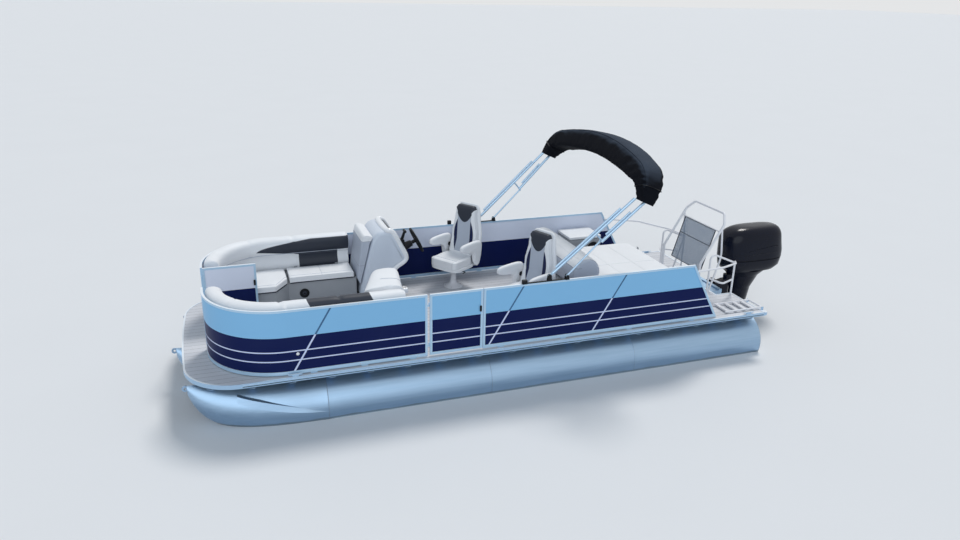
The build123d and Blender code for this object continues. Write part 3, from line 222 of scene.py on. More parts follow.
def fence_finish():
    """Painted fence sheet: a band over navy outside, with light lines and slanted accents; the band's blue
    outside is painted sky shade, and its paler inside is painted sunlight on the same paint.
    """
    net = Net("painted_sheet")
    x, y, z = net.axes()
    # The band's outer colour is painted sky shade, and the inside colour is the same paint painted as sunlit
    sky_shaded_band, inside, navy = (0.25, 0.52, 0.79), (0.72, 0.76, 0.88), (0.0010, 0.0065, 0.070)
    pale, slate = (0.62, 0.68, 0.88), (0.06, 0.14, 0.27)
    ahead, aside = x - BOW_X | 0.0, abs(y) - BOW_Y | 0.0
    outer = net.math("SQRT", ahead * ahead + aside * aside) > BOW_RADIUS - PANEL_INSET
    upper = z > BAND_FOOT
    # Painted light: the upper band takes the painted shade outside and the painted sunlight inside
    colour = net.mix(upper, navy, net.mix(outer, inside, sky_shaded_band))
    lines = z.near(STRIPES[0], STRIPE_HALF) | z.near(STRIPES[1], STRIPE_HALF)
    colour = net.mix(lines & outer, colour, pale)
    slant = x + (z - ACCENT_FOOT) * ACCENT_LEAN
    for start in ACCENTS:
        accent = slant.near(start, ACCENT_HALF) & (abs(y) > FENCE_SIDE - PANEL_INSET)
        colour = net.mix(accent, colour, net.mix(upper, pale, slate))
    wear = net.noise(2.2, detail=4.0).ranged(0.0, 0.025)
    return net.finish(
        (net.noise(3.0, (1, 1, 0.4)), 0.25, 0.004),
        colour=net.mix(wear, colour, (0.4, 0.5, 0.6)),
        rough=net.noise(9.0).ranged(0.34, 0.46),
        metal=(upper & outer) * 0.2,
        shine=0.08,
    )


def satin_finish(name, low, high, rough):
    """Satin aluminium with a drawn grain; its blue sides are painted sky shade, and what faces up is painted
    whitish as sunlight.
    """
    net = Net(name)
    streak = net.noise(260.0, (0.03, 1, 1))
    return net.finish(
        (streak, 0.15, 0.0005),
        # Painted light: faces turned up get whitish painted sunlight, the rest a bluer painted shade
        colour=net.mix(net.facing()[2] > 0.5, net.mix(streak, low, high), (0.84, 0.89, 0.94)),
        rough=streak.ranged(rough - 0.06, rough + 0.06),
        metal=0.3,
    )


def deck_finish():
    """Vinyl planks laid fore and aft, with dark seams between them."""
    net = Net("plank_vinyl")
    _, y, z = net.axes()
    across = y / PLANK
    joint = net.math("FRACT", across).near(0.0, 0.045)
    tone = net.node("TexWhiteNoise", "Value", {"W": net.math("FLOOR", across)}, noise_dimensions="1D")
    grain = net.noise(30.0, (0.8, 9.0, 1.0), 6.0)
    wood = net.mix(tone * 0.45 + grain * 0.6, (0.54, 0.56, 0.60), (0.70, 0.70, 0.73))
    return net.finish(
        (grain * 0.3 - joint, 0.35, 0.001),
        colour=net.mix(z > DECK_SKIN, (0.25, 0.25, 0.25), net.mix(joint, wood, (0.20, 0.20, 0.21))),
        rough=grain.ranged(0.5, 0.72),
    )


def pontoon_finish():
    """Rolled aluminium with weld seams and light brushing; its blue cast is painted sky reflection, and it
    darkens at the waterline partly as a stain and partly as painted reflection of dark water.
    """
    net = Net("rolled_aluminium")
    x, _, z = net.axes()
    streak = net.noise(40.0, (0.05, 1.0, 1.0), 4.0)
    # The blue in this tone is painted sky reflection on the aluminium
    tone = net.mix(streak, (0.28, 0.42, 0.58), (0.40, 0.55, 0.72))
    # Darker at the waterline: partly a stain, partly painted reflection of dark water
    stain_and_water_reflection = z + net.noise(4.0).ranged(-0.02, 0.02) < 0.03
    tone = net.mix(stain_and_water_reflection * 0.55, tone, (0.20, 0.21, 0.20))
    seam = net.math("FRACT", (x - TUBE_AFT) / TUBE_SECTION).near(0.0, 0.0035)
    return net.finish(
        (net.noise(2.0) + seam * 2.0, 0.3, 0.003),
        colour=net.mix(seam * 0.5, tone, (0.3, 0.31, 0.33)),
        rough=streak.ranged(0.30, 0.46),
        metal=0.85,
    )


def mesh_finish():
    """Open net: a crossed weave with holes between the strands."""
    net = Net("open_net")
    _, y, z = net.axes()
    high, wide = (net.math("FRACT", v / NET_HOLE) < NET_STRAND for v in (z, y))
    return net.finish(
        (net.bands(120.0, "Y") + net.bands(120.0, "Z"), 0.4, 0.001),
        colour=net.mix(net.noise(20.0), (0.20, 0.26, 0.35), (0.32, 0.39, 0.49)),
        rough=0.7,
        alpha=(high | wide).ranged(0.12, 1.0),
    )


def helm_finish():
    """Smooth moulding, black inside the rim of the dash and dark in the footwell."""
    net = Net("helm_moulding")
    inner = (net.facing()[0] < -0.35) & net.axes()[1].within(-1.155, -0.580)
    body = net.mix(net.noise(4.0, detail=4.0), (0.60, 0.66, 0.75), (0.66, 0.71, 0.79))
    return net.finish(
        (net.noise(60.0) + inner * net.noise(400.0), 0.08, 0.0008),
        colour=net.mix(inner, body, (0.014, 0.015, 0.019)),
        rough=inner.ranged(0.30, 0.55),
    )


def canvas_finish():
    """Woven cover cloth, with painted sunlight on what faces up, uneven in patches."""
    net = Net("cover_canvas")
    # Painted light: what faces up is painted lighter as if sunlit
    sunlit_top = net.facing()[2].ranged(0.0, 1.0, 0.5, 0.85) * net.noise(3.0).ranged(0.6, 1.0)
    weave = net.bands(260.0, "X") * net.bands(260.0, "Y")
    return net.finish(
        (weave + net.noise(12.0, detail=5.0), 0.35, 0.002),
        colour=net.mix(sunlit_top, (0.0035, 0.0045, 0.008), (0.050, 0.066, 0.094)),
        rough=0.85,
        shine=0.1,
    )


def upholstery(name, zones=None, at=(0, 0), turn=0, base=WHITE):
    """Leather-grained vinyl; zones gives pairs of a mask and a colour, and a mask of sewn seams."""
    net = Net(name)
    if turn:
        # A chair's zones are drawn in its own turned frame
        stand = {"Vector": net.place, "Location": (*at, 0), "Rotation": (0, 0, math.radians(turn))}
        net.place = net.node("Mapping", 0, stand, vector_type="TEXTURE")
    colour = net.mix(net.noise(5.0, detail=5.0), scaled(base, 0.95), scaled(base, 1.03))
    height = net.node("TexVoronoi", "Distance", {"Vector": net.place, "Scale": 420.0}) + net.noise(60.0)
    if zones:
        pairs, seam = zones(*net.axes())
        for mask, tint in pairs:
            colour = net.mix(mask, colour, tint)
        if seam is not None:
            height -= seam * 4.0
            colour = net.mix(seam * 0.45, colour, (0.16, 0.17, 0.20))
    rough = net.noise(30.0).ranged(0.42, 0.56)
    return net.finish((height, 0.22, 0.0006), colour=colour, rough=rough, shine=0.3)


def chair_zones(x, y, z):
    """White bolsters, a grey middle, navy crescents beside it and a charcoal head shield."""
    side, back = abs(y), z > 1.045
    rise = (z - 1.27) / 0.21
    bulge = 0.166 - rise * rise * 0.055
    middle = back & (side < 0.112) & (z < 1.64)
    crescent = back & (side > 0.109) & (side < bulge)
    low = 1.455 + side * side * 7.5
    shield = (z > low) & (side < 0.122 + (z - 1.60 | 0.0) * 0.9)
    rim = back & side.near(0.111, 0.0022) & (z < low)
    rim |= back & side.near(bulge, 0.0022) & (side > 0.111)
    rim |= z.near(low, SEAM_HALF) & (side < 0.122)
    piping = (z < 1.045) & side.near(0.165, 0.0022)
    return [(middle, PEARL), (crescent, NAVY), (shield, CHARCOAL)], rim | piping


def starboard_zones(x, y, z):
    """The starboard back's charcoal band, whose top edge climbs towards the helm."""
    band_front, foot_bend = 2.64, 2.10
    rise = x.net.math("MINIMUM", x.net.math("POWER", (band_front - x) / 0.7 | 0.0, 0.5), 1.0)
    edge = 1.215 + rise * 0.14
    foot = 1.140 + (x - foot_bend | 0.0) * 0.15
    band = (x < band_front) & (z < edge) & (y > -1.13)
    white = (x > foot_bend) & (z < foot) | (x < 1.59) & (z < 1.17)
    seam = z.near(edge, SEAM_HALF) | z.near(foot, SEAM_HALF)
    return [(band, CHARCOAL), (white, WHITE)], seam & (x < band_front)


def port_zones(x, y, z):
    """A charcoal stretch with slanted ends on the port back's roll."""
    ends = (1.56, 2.23)
    slant = x - (z - 1.3) * 0.5
    band = slant.within(*ends) & (z > 1.19)
    return [(band, CHARCOAL)], slant.near(ends[0], SEAM_HALF) | slant.near(ends[1], SEAM_HALF)


def pillow_zones(x, y, z):
    """White roll on a grey padded face, with two sewn seams."""
    return [(z < 1.405, PEARL)], z.near(1.405, SEAM_HALF) | z.near(1.08, SEAM_HALF)


def bolster_zones(x, y, z):
    """White on top, grey front, foot and end."""
    end = 0.855
    front = (x > -1.075) & (z < 1.31)
    grey = front | (y > end) | (z < 1.12)
    return [(grey, PEARL)], y.near(end, SEAM_HALF) | front & z.near(1.305, 0.004)


def seat_zones(x, y, z):
    """White cushion on a charcoal board."""
    return [(z < 0.926, CHARCOAL)], None


white_vinyl = upholstery("white_vinyl")
pearl_vinyl = upholstery("pearl_vinyl", base=PEARL)
cloth = ("weave", 300.0, 0.35, 0.0008)
charcoal_vinyl = surface("charcoal_vinyl", CHARCOAL, 0.50, cloth, shine=0.25, sheen=0.1)
shell_grey = surface("moulded_grey", (0.34, 0.355, 0.38), 0.55, ("even", 260.0, 0.25, 0.0008))
gel_grain = ("even", 60.0, 0.04, 0.0006)
gelcoat = surface("console_gelcoat", (0.56, 0.62, 0.71), 0.28, gel_grain, vary=0.03, coat=0.3)
rim_white = surface("rim_gelcoat", (0.86, 0.87, 0.89), 0.30, gel_grain, vary=0.03, coat=0.3)
black = surface("black_plastic", (0.009, 0.010, 0.013), 0.45, ("even", 420.0, 0.3, 0.0006), shine=0.2)
gloss = ("even", 40.0, 0.03, 0.0006)
gloss_black = surface("gloss_black", (0.003, 0.005, 0.014), 0.24, gloss, vary=0.2, coat=0.18, shine=0.12)
rubber = surface("rubber", (0.016, 0.016, 0.019), 0.75, ("even", 180.0, 0.3, 0.001), shine=0.2)
tube_grain = ("brushed", 300.0, 0.12, 0.0004)
stainless = surface("stainless_steel", (0.66, 0.66, 0.67), 0.18, ("brushed", 300.0, 0.08, 0.0003), metal=1.0)
white_coat = surface("white_powder_coat", (0.80, 0.80, 0.83), 0.35, ("even", 500.0, 0.2, 0.0004))
# The blue in these satin colours is painted sky shade
trim = satin_finish("edge_extrusion", (0.34, 0.52, 0.72), (0.44, 0.62, 0.80), 0.34)
smooth = ("even", 10.0, 0.01, 0.0002)
glass = surface("gauge_glass", (0.02, 0.025, 0.03), 0.06, smooth, vary=0.1, coat=1.0)
lens = surface("lamp_lens", (0.78, 0.80, 0.84), 0.10, ("bristle", 200.0, 0.3, 0.001), coat=1.0)
canvas = canvas_finish()
net_cloth = mesh_finish()
rolled = pontoon_finish()

slot_finish = {
    "tube_aluminium": rolled,
    # The blue in these satin colours is painted sky shade
    "frame_aluminium": satin_finish("satin_frame", (0.40, 0.60, 0.78), (0.52, 0.70, 0.86), 0.36),
    "fence_skin": fence_finish(),
    "deck_board": deck_finish(),
    "edge_trim": trim,
    "vinyl_white": white_vinyl,
    "vinyl_charcoal": charcoal_vinyl,
    "base_grey": shell_grey,
    "console_white": gelcoat,
    "black_plastic": black,
    "top_canvas": canvas,
    "top_tube": surface("anodised_tube", (0.42, 0.58, 0.74), 0.30, tube_grain, metal=0.7),
    "stainless": stainless,
    "motor_black": gloss_black,
    "rail_white": white_coat,
    "mesh_grey": net_cloth,
    "engine_iron": surface("cast_iron", (0.10, 0.10, 0.10), 0.6, ("even", 120.0, 0.4, 0.002), metal=0.6),
}
for row in frame["record"]["subparts"]:
    materials = cad[row["node"]].data.materials
    materials.clear()
    materials.append(slot_finish[row["material_slot"]])

# Building pieces from points


def turns(count):
    """Angles evenly round a circle."""
    return [math.tau * i / count for i in range(count)]


def squarish(t, bend):
    """Cosine and sine of an angle, drawn out towards a square's corners as bend drops below 1."""
    return [math.copysign(abs(v) ** bend, v) for v in (math.cos(t), math.sin(t))]


def oval(centre, a, b, count, power=2.0):
    """A ring about a centre from its half axes; a power above 2 squares it."""
    ring = (squarish(t, 2 / power) for t in turns(count))
    return [Vector(centre) + Vector(a) * c + Vector(b) * s for c, s in ring]


def square_to(axis):
    """A direction square to an axis."""
    return axis.cross(Vector(UP if abs(axis.z) < 0.9 else FORE)).normalized()


def smoothed(points, rounds=2, closed=False):
    """Rounds a chain of points by cutting its corners."""
    points = [Vector(p) for p in points]
    for _ in range(rounds):
        after = points[1:] + points[:1] if closed else points[1:]
        cut = [a.lerp(b, share) for a, b in zip(points, after) for share in (0.25, 0.75)]
        points = cut if closed else [points[0]] + cut + [points[-1]]
    return points


def resampled(points, step):
    """Points every step along a chain."""
    points = [Vector(p) for p in points]
    out = points[:1]
    for a, b in zip(points, points[1:]):
        count = max(1, round((b - a).length / step))
        out += [a.lerp(b, (i + 1) / count) for i in range(count)]
    return out


def distances(points):
    """How far along a chain each of its points lies."""
    out = [0.0]
    for a, b in zip(points, points[1:]):
        out.append(out[-1] + (Vector(b) - Vector(a)).length)
    return out


class Piece:
    """Gathers surfaces into one object."""

    def __init__(self, name):
        self.name = name
        self.verts, self.faces, self.marks, self.mats = [], [], [], []

    def add(self, verts, faces, material):
        if material not in self.mats:
            self.mats.append(material)
        start = len(self.verts)
        self.verts += [Vector(v) for v in verts]
        self.faces += [tuple(start + i for i in f) for f in faces]
        self.marks += [self.mats.index(material)] * len(faces)

    def loft(self, rings, material, closed=False):
        """Joins rings of equal length, each a closed loop of points."""
        count, total = len(rings[0]), len(rings)
        faces = []
        for i in range(total if closed else total - 1):
            a, b = i * count, (i + 1) % total * count
            for j in range(count):
                k = (j + 1) % count
                faces.append((a + j, a + k, b + k, b + j))
        if not closed:
            faces.append(tuple(reversed(range(count))))
            faces.append(tuple((total - 1) * count + j for j in range(count)))
        self.add([p for ring in rings for p in ring], faces, material)

    def tube(self, points, radius, material, sides=10, closed=False, flat=1.0):
        """A round or flattened tube along points."""
        points = [Vector(p) for p in points]
        count = len(points)
        rings, side = [], None
        for i, p in enumerate(points):
            ahead = points[(i + 1) % count] if closed or i < count - 1 else p
            behind = points[i - 1] if closed or i else p
            along = (ahead - behind).normalized()
            if side is None:
                side = square_to(along)
            side = (side - along * side.dot(along)).normalized()
            rings.append(oval(p, side * radius, along.cross(side) * radius * flat, sides))
        self.loft(rings, material, closed=closed)

    def turned(self, profile, origin, axis, material, sides=28):
        """Turns (distance along, radius) pairs about an axis."""
        axis = Vector(axis).normalized()
        side = square_to(axis)
        up = axis.cross(side)
        rings = []
        for along, r in profile:
            r = max(r, 0.0002)
            rings.append(oval(Vector(origin) + axis * along, side * r, up * r, sides))
        self.loft(rings, material)

    def block(self, low, high, material, radius, turn=Matrix()):
        """A box with rounded edges, then turned."""
        low, high = Vector(low), Vector(high)
        size, centre = high - low, (low + high) / 2
        bm = bmesh.new()
        bmesh.ops.create_cube(bm, size=1.0)
        for v in bm.verts:
            v.co = v.co * size + centre
        radius = min(radius, min(size) * 0.49)
        bmesh.ops.bevel(bm, geom=bm.edges[:], offset=radius, segments=2, affect="EDGES", profile=0.5)
        bm.verts.index_update()
        self.add([turn @ v.co for v in bm.verts], [[v.index for v in f.verts] for f in bm.faces], material)
        bm.free()

    def screw(self, at, axis, radius=0.006):
        """A domed screw head, with a small recess."""
        rim = [(-0.001, radius), (0.0006, radius), (0.0022, radius * 0.75), (0.0028, radius * 0.4)]
        self.turned(rim + [(0.0016, radius * 0.34), (0.0016, 0)], at, axis, stainless, sides=12)

    def done(self, body, slot, replaces=(), angle=35):
        """Makes the object, on its body, with edges sharp past an angle."""
        mesh = bpy.data.meshes.new(self.name)
        mesh.from_pydata(self.verts, [], self.faces)
        for material in self.mats:
            mesh.materials.append(material)
        mesh.polygons.foreach_set("material_index", self.marks)
        mesh.polygons.foreach_set("use_smooth", [True] * len(mesh.polygons))
        mesh.update()
        bm = bmesh.new()
        bm.from_mesh(mesh)
        bmesh.ops.recalc_face_normals(bm, faces=bm.faces)
        bm.to_mesh(mesh)
        bm.free()
        mesh.set_sharp_from_angle(angle=math.radians(angle))
        made = placed(self.name, mesh)
        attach(made, body)
        if replaces:
            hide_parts(*replaces)
        return made


# Padded pieces

SWELL_FRAMES = 20


def settle(obj, swell):
    """Swells a closed pad by air pressure, each point held within a cap."""
    before = [v.co.copy() for v in obj.data.vertices]
    cloth = obj.modifiers.new("swell", "CLOTH")
    with_values(
        cloth.settings,
        use_pressure=True,
        uniform_pressure_force=4.0,
        quality=4,
        mass=0.3,
        tension_stiffness=25,
        compression_stiffness=15,
        bending_stiffness=1.5,
    )
    cloth.settings.effector_weights.gravity = 0.0
    with_values(cloth.point_cache, frame_start=1, frame_end=SWELL_FRAMES)
    for number in range(1, SWELL_FRAMES + 1):
        scene.frame_set(number)
    shaped = obj.evaluated_get(bpy.context.evaluated_depsgraph_get()).to_mesh()
    after = [v.co.copy() for v in shaped.vertices]
    obj.modifiers.remove(cloth)
    scene.frame_set(1)
    for vertex, old, new in zip(obj.data.vertices, before, after):
        move = new - old
        if move.length > swell:
            move = move.normalized() * swell
        vertex.co = old + move
    obj.data.update()


def pad(name, node, body, material, voxel, shrink=0.006, swell=0.010, soften=6):
    """Makes a padded piece in the place of a CAD node."""
    mesh = cad[node].data.copy()
    made = placed(name, mesh)
    mesh.materials.clear()
    mesh.materials.append(material)
    bm = bmesh.new()
    bm.from_mesh(mesh)
    bmesh.ops.remove_doubles(bm, verts=bm.verts, dist=0.00005)
    bmesh.ops.recalc_face_normals(bm, faces=bm.faces)
    bm.to_mesh(mesh)
    bm.free()
    size = voxel * 1.0
    with_values(made.modifiers.new("remesh", "REMESH"), mode="VOXEL", voxel_size=size)
    with_values(made.modifiers.new("soften", "SMOOTH"), iterations=soften, factor=0.6)
    with_values(made.modifiers.new("inward", "DISPLACE"), strength=-shrink, mid_level=0.0)
    shaped = made.evaluated_get(bpy.context.evaluated_depsgraph_get())
    made.data = bpy.data.meshes.new_from_object(shaped)
    made.modifiers.clear()
    bpy.data.meshes.remove(mesh)
    settle(made, swell)
    made.data.polygons.foreach_set("use_smooth", [True] * len(made.data.polygons))
    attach(made, body)
    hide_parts(node)
    return made


def press(obj, lines, depth, width, step=0.05):
    """Presses sewn lines into a pad; each is a chain of points on or near its surface."""
    chains = [resampled(line, step) for line in lines]
    pairs = [(a, b) for chain in chains for a, b in zip(chain, chain[1:])]
    normals = [v.normal.copy() for v in obj.data.vertices]
    for vertex, normal in zip(obj.data.vertices, normals):
        best = 1.0
        for a, b in pairs:
            along = b - a
            share = max(0.0, min(1.0, (vertex.co - a).dot(along) / along.length_squared))
            best = min(best, (vertex.co - a - along * share).length)
        if best < width * 2.5:
            vertex.co -= normal * depth * math.exp(-((best / width) ** 2))
    obj.data.update()


def welts(name, obj, body, lines, material, toward=DOWN, aim=None):
    """Lays welts on a pad: chains, each with its radius, are dropped one way, or towards a point inside."""
    tree = BVHTree.FromObject(obj, bpy.context.evaluated_depsgraph_get())
    piece = Piece(name)
    for line, radius in lines:
        hits = []
        for p in resampled(line, 0.02):
            way = (Vector(aim) - p if aim else Vector(toward)).normalized()
            hit = tree.ray_cast(p, way, 0.6) if aim else tree.ray_cast(p - way * 0.4, way, 0.9)
            if hit[0]:
                hits.append(hit[0])
        if len(hits) > 2:
            piece.tube(hits, radius, material, sides=6)
    piece.done(body, "vinyl_white")


# Pontoons, deck and trim

STRIPS = ((1.297, 0.566), (1.2965, 0.549))
hull = Piece("hull_details")
for side in (1, -1):
    y = side * TUBE_SIDE
    # Weld beads round the tube's joins
    for join in (3, 2, 1):
        centre = (TUBE_AFT + join * TUBE_SECTION + 0.005, y, TUBE_HEIGHT)
        bead = oval(centre, (0, BEAD_RING, 0), (0, 0, BEAD_RING), 48)
        hull.tube(bead, 0.004, rolled, sides=6, closed=True)
    # Screws in the cleats
    for cleat in (2.45, -3.35):
        for reach in (-0.025, 0.025):
            hull.screw((cleat + reach, side * 1.273, 0.611), UP, 0.004)
    # Rubbing strips along the deck's edge
    upper, lower = (resampled([(x, side * out, z) for x in (-3.58, 2.995)], 0.4) for out, z in STRIPS)
    hull.tube(upper, 0.005, trim, sides=8)
    hull.tube(lower, 0.003, rubber, sides=6)
    # Drain plug on the tube's aft end
    plug = [(0, 0.03), (0.006, 0.03), (0.008, 0.02), (0.008, 0)]
    hull.turned(plug, (TUBE_AFT + 0.001, y, 0.20), (-1, 0, 0), stainless)
hull.done("hull", "edge_trim")

fence = Piece("fence_fittings")
for side in (1, -1):
    for x in (1.10, 1.75, -0.35, -1.0, -1.65, -2.2):
        for z in (0.613, 1.323):
            fence.screw((x, side * (FENCE_SIDE + 0.0002), z), (0, side, 0), 0.005)
    # Round lamp low on the bow panel
    at, out = (2.407, side * 1.2385, 0.826), (0, side, 0)
    bulb = [(0, 0.015), (0.006, 0.015), (0.009, 0.012), (0.011, 0.007), (0.011, 0)]
    fence.turned(bulb, at, out, lens, sides=24)
    fence.turned([(0, 0.018), (0.004, 0.018), (0.005, 0.015)], at, out, stainless, sides=24)
fence.done("hull", "frame_aluminium")

# Lamp socket on the starboard rail
socket = Piece("rail_socket")
socket.block((-0.062, -1.262, 1.3365), (-0.010, -1.222, 1.388), black, 0.006)
socket.done("hull", "black_plastic")

# Gate latches, on both faces at each gate's free end
for body, (x, y, z) in (
    ("bow_gate", (2.7205, -0.304, 1.10)),
    ("side_gate", (0.36, FENCE_SIDE - PANEL_INSET, 1.10)),
):
    latch = Piece(f"{body}_latch")
    for low, high in ((-0.0215, -0.0125), (0.0125, 0.0215)):
        latch.block((x - 0.012, y + low, z - 0.035), (x + 0.012, y + high, z + 0.035), black, 0.003)
    latch.done(body, "black_plastic")

# Seat cushions

SEAT_TOP, KNEE = 1.0, 0.665
seat_vinyl = upholstery("seat_vinyl", seat_zones)
for side, word in ((1, "port"), (-1, "starboard")):
    lid = pad(f"{word}_lid_pad", f"{word}_seat_lid", f"{word}_lid", seat_vinyl, voxel=0.010)
    low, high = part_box(f"{word}_seat_lid")
    middle = (low.x + high.x) / 2
    knee = [(x, side * KNEE, SEAT_TOP) for x in (low.x + 0.03, high.x - 0.03)]
    cross = [(middle, side * 0.62, SEAT_TOP), (middle, side * 0.98, SEAT_TOP)]
    press(lid, [knee, cross], 0.004, 0.010)
    welts(f"{word}_lid_welts", lid, f"{word}_lid", [(knee, 0.0028), (cross, 0.0022)], pearl_vinyl)

bow_pads = pad("bow_seat_pads", "bow_cushions", "hull", seat_vinyl, voxel=0.011)
bow_lines = []
for side in (1, -1):
    line = [(2.32, side * KNEE, SEAT_TOP), (2.47, side * 0.41, SEAT_TOP), (3.06, side * 0.41, SEAT_TOP)]
    press(bow_pads, [line], 0.004, 0.010)
    bow_lines.append((line, 0.0028))
welts("bow_seat_welts", bow_pads, "hull", bow_lines, pearl_vinyl)

# Lounge backs: a padded band along the fence with a rolled top, sewn into panels

# distance in from the fence and height, round the section
BACK_SECTION = (
    (0.003, 0.910), (0.004, 1.30), (0.020, 1.365), (0.070, 1.388), (0.130, 1.380), (0.180, 1.350),
    (0.192, 1.290), (0.176, 1.215), (0.140, 1.165), (0.120, 1.120), (0.122, 1.060), (0.150, 1.010),
    (0.150, 0.925),
)


def fence_path(side, aft, inset, step=0.03):
    """Points along the inside of the fence, from aft to the bow, with the way inward."""
    out = []
    x = aft
    while x < BOW_X:
        out.append((Vector((x, side * (FENCE_SIDE - inset), 0)), Vector((0, -side, 0))))
        x += step
    radius = BOW_RADIUS - inset
    steps = int(radius * math.pi / 2 / step)
    for i in range(steps + 1):
        t = math.pi / 2 * i / steps
        inward = Vector((-math.sin(t), -side * math.cos(t), 0))
        out.append((Vector((BOW_X, side * BOW_Y, 0)) - inward * radius, inward))
    return out


section = smoothed([(inward, 0, height) for inward, height in BACK_SECTION], 1, closed=True)
for word, side, aft, zones in (("port", 1, 1.215, port_zones), ("starboard", -1, 1.445, starboard_zones)):
    route = fence_path(side, aft, 0.034)
    heart, panel = Vector((0.09, 0, 1.18)), 0.62
    lengths = distances([point for point, _ in route])
    seams = [s * panel + 0.1 for s in range(1, int(lengths[-1] / panel))]
    rings = []
    for (point, inward), along in zip(route, lengths):
        pinch = sum(math.exp(-(((along - s) / 0.020) ** 2)) for s in seams) * 0.014
        ends = min(along, lengths[-1] - along)
        close = 0.10 * max(0.0, 1 - ends / 0.05) ** 2
        ring = []
        for k, q in enumerate(section):
            r = q - heart
            r = r * (1 - close) - r.normalized() * pinch
            ripple = noise.noise(Vector((along * 9, k * 0.5, side))) * 0.0025
            place = heart + r + r.normalized() * ripple
            ring.append(point + inward * place.x + Vector((0, 0, place.z)))
        rings.append(ring)
    piece = Piece(f"{word}_back_pad")
    piece.loft(rings, upholstery(f"{word}_back_vinyl", zones))
    made = piece.done("hull", "vinyl_white", replaces=(f"{word}_lounge_back",), angle=60)
    seam = Piece(f"{word}_back_pad_welts")
    seam.tube([p + i * 0.142 + Vector((0, 0, 1.165)) for p, i in route[2:-2]], 0.004, pearl_vinyl, sides=6)
    seam.done("hull", "vinyl_white")

# Port corner back, whose inner end is plump and whose outer side stops at the roll along the fence

corner = pad("port_corner_pad", "port_lounge_corner", "hull", white_vinyl, voxel=0.013, shrink=-0.004)
# Its upper part is smoothed into a dome, by as many rounds as the mesh's edges ask
dome = bmesh.new()
dome.from_mesh(corner.data)
edge = sum(e.calc_length() for e in dome.edges) / len(dome.edges)
rounds = round((0.13 / edge) ** 2)
for i in range(rounds):
    level = 1.02 + 0.14 * i / rounds
    upper = [v for v in dome.verts if v.co.z > level]
    bmesh.ops.smooth_vert(dome, verts=upper, factor=0.6, use_axis_x=True, use_axis_y=True, use_axis_z=True)
dome.to_mesh(corner.data)
dome.free()
corner.data.update()
corner_x, corner_out = 1.285, 0.97
for vertex in corner.data.vertices:
    x, y, z = vertex.co
    plump = max(0.0, min(1.0, (0.92 - y) / 0.4)) * max(0.0, min(1.0, (z - 1.02) / 0.12))
    widen = 0.060 if x > corner_x else -0.055
    vertex.co.x += widen * plump * min(1.0, abs(x - corner_x) / 0.05)
    vertex.co.z += 0.034 * plump
    if y > corner_out:
        vertex.co.y = corner_out + (y - corner_out) * 0.1
# Armrest block with a cup holder
fittings = Piece("port_corner_fittings")
fittings.block((1.125, 0.865, 1.262), (1.235, 0.955, 1.318), rim_white, 0.014)
cup = [(0.0005, 0.0312), (0.004, 0.0306), (0.0045, 0.0264), (0.001, 0.0246), (-0.02, 0.0234), (-0.02, 0)]
fittings.turned(cup, (1.168, 0.910, 1.318), UP, stainless, sides=32)
fittings.done("hull", "rail_white")
# Piping over the dome, a hand in from its end
bows = [math.pi * k / 30 for k in range(31)]
arch = [(1.27 + 0.30 * math.cos(t), 0.80, 1.15 + 0.30 * math.sin(t)) for t in bows]
welts("port_corner_welt", corner, "hull", [(arch, 0.004)], pearl_vinyl, aim=(1.27, 0.80, 1.05))

# Console front, aft bolster, sun pad and locker

pillow_vinyl = upholstery("console_pad_vinyl", pillow_zones)
pad("console_pad", "console_backrest", "hull", pillow_vinyl, voxel=0.010)
bolster_vinyl = upholstery("aft_bolster_vinyl", bolster_zones)
bolster = pad("aft_bolster_pad", "aft_bolster", "hull", bolster_vinyl, voxel=0.012)
edge = [(-1.075, y, 1.4) for y in (-0.53, 0.86)]
welts("aft_bolster_welts", bolster, "hull", [(edge, 0.004)], white_vinyl, toward=(-0.25, 0, -1))

sun = pad("sun_pad_cover", "sun_pad", "sun_pad_lid", white_vinyl, voxel=0.015)
lines = [[(x, -0.36, 1.12), (x, 1.13, 1.12)] for x in (-1.72, -2.08)]
lines.append([(-1.40, 0.38, 1.12), (-2.42, 0.38, 1.12)])
press(sun, lines, 0.006, 0.014, step=0.1)
welts("sun_pad_welts", sun, "sun_pad_lid", [(line, 0.003) for line in lines], white_vinyl)
pad("locker_pad", "aft_locker_pad", "hull", white_vinyl, voxel=0.010, shrink=0.004, swell=0.006)

# Swivel chairs, drawn facing forward and turned about their pedestals

# columns: height, middle x, half depth, half width
SHELL_ROWS = (
    (0.868, -0.222, 0.030, 0.205), (0.905, -0.255, 0.036, 0.222), (1.00, -0.294, 0.038, 0.232),
    (1.15, -0.312, 0.036, 0.235), (1.30, -0.327, 0.035, 0.235), (1.36, -0.332, 0.034, 0.226),
    (1.44, -0.339, 0.034, 0.207), (1.52, -0.346, 0.033, 0.193), (1.60, -0.352, 0.033, 0.184),
    (1.66, -0.354, 0.031, 0.172), (1.695, -0.352, 0.020, 0.148), (1.703, -0.351, 0.008, 0.120),
)
PAN_ROWS = (
    (0.862, 0.015, 0.205, 0.215), (0.875, 0.015, 0.232, 0.238), (0.90, 0.015, 0.235, 0.240),
    (0.912, 0.015, 0.228, 0.234),
)
SLIDE_ROWS = ((0.842, 0, 0.130, 0.100), (0.862, 0, 0.150, 0.105))
ARM = (
    (-0.272, 1.13), (-0.248, 0.98), (-0.205, 0.898), (-0.145, 0.892), (-0.125, 1.03), (-0.06, 1.128),
    (0.10, 1.145), (0.20, 1.175), (0.185, 1.252), (0.02, 1.262), (-0.21, 1.258), (-0.268, 1.215),
)
# share of the arm's width, and the outline's size there
ARM_ROUNDING = ((0.0, 0.72), (0.06, 0.88), (0.2, 0.97), (0.5, 1.0), (0.8, 0.97), (0.94, 0.88), (1.0, 0.72))

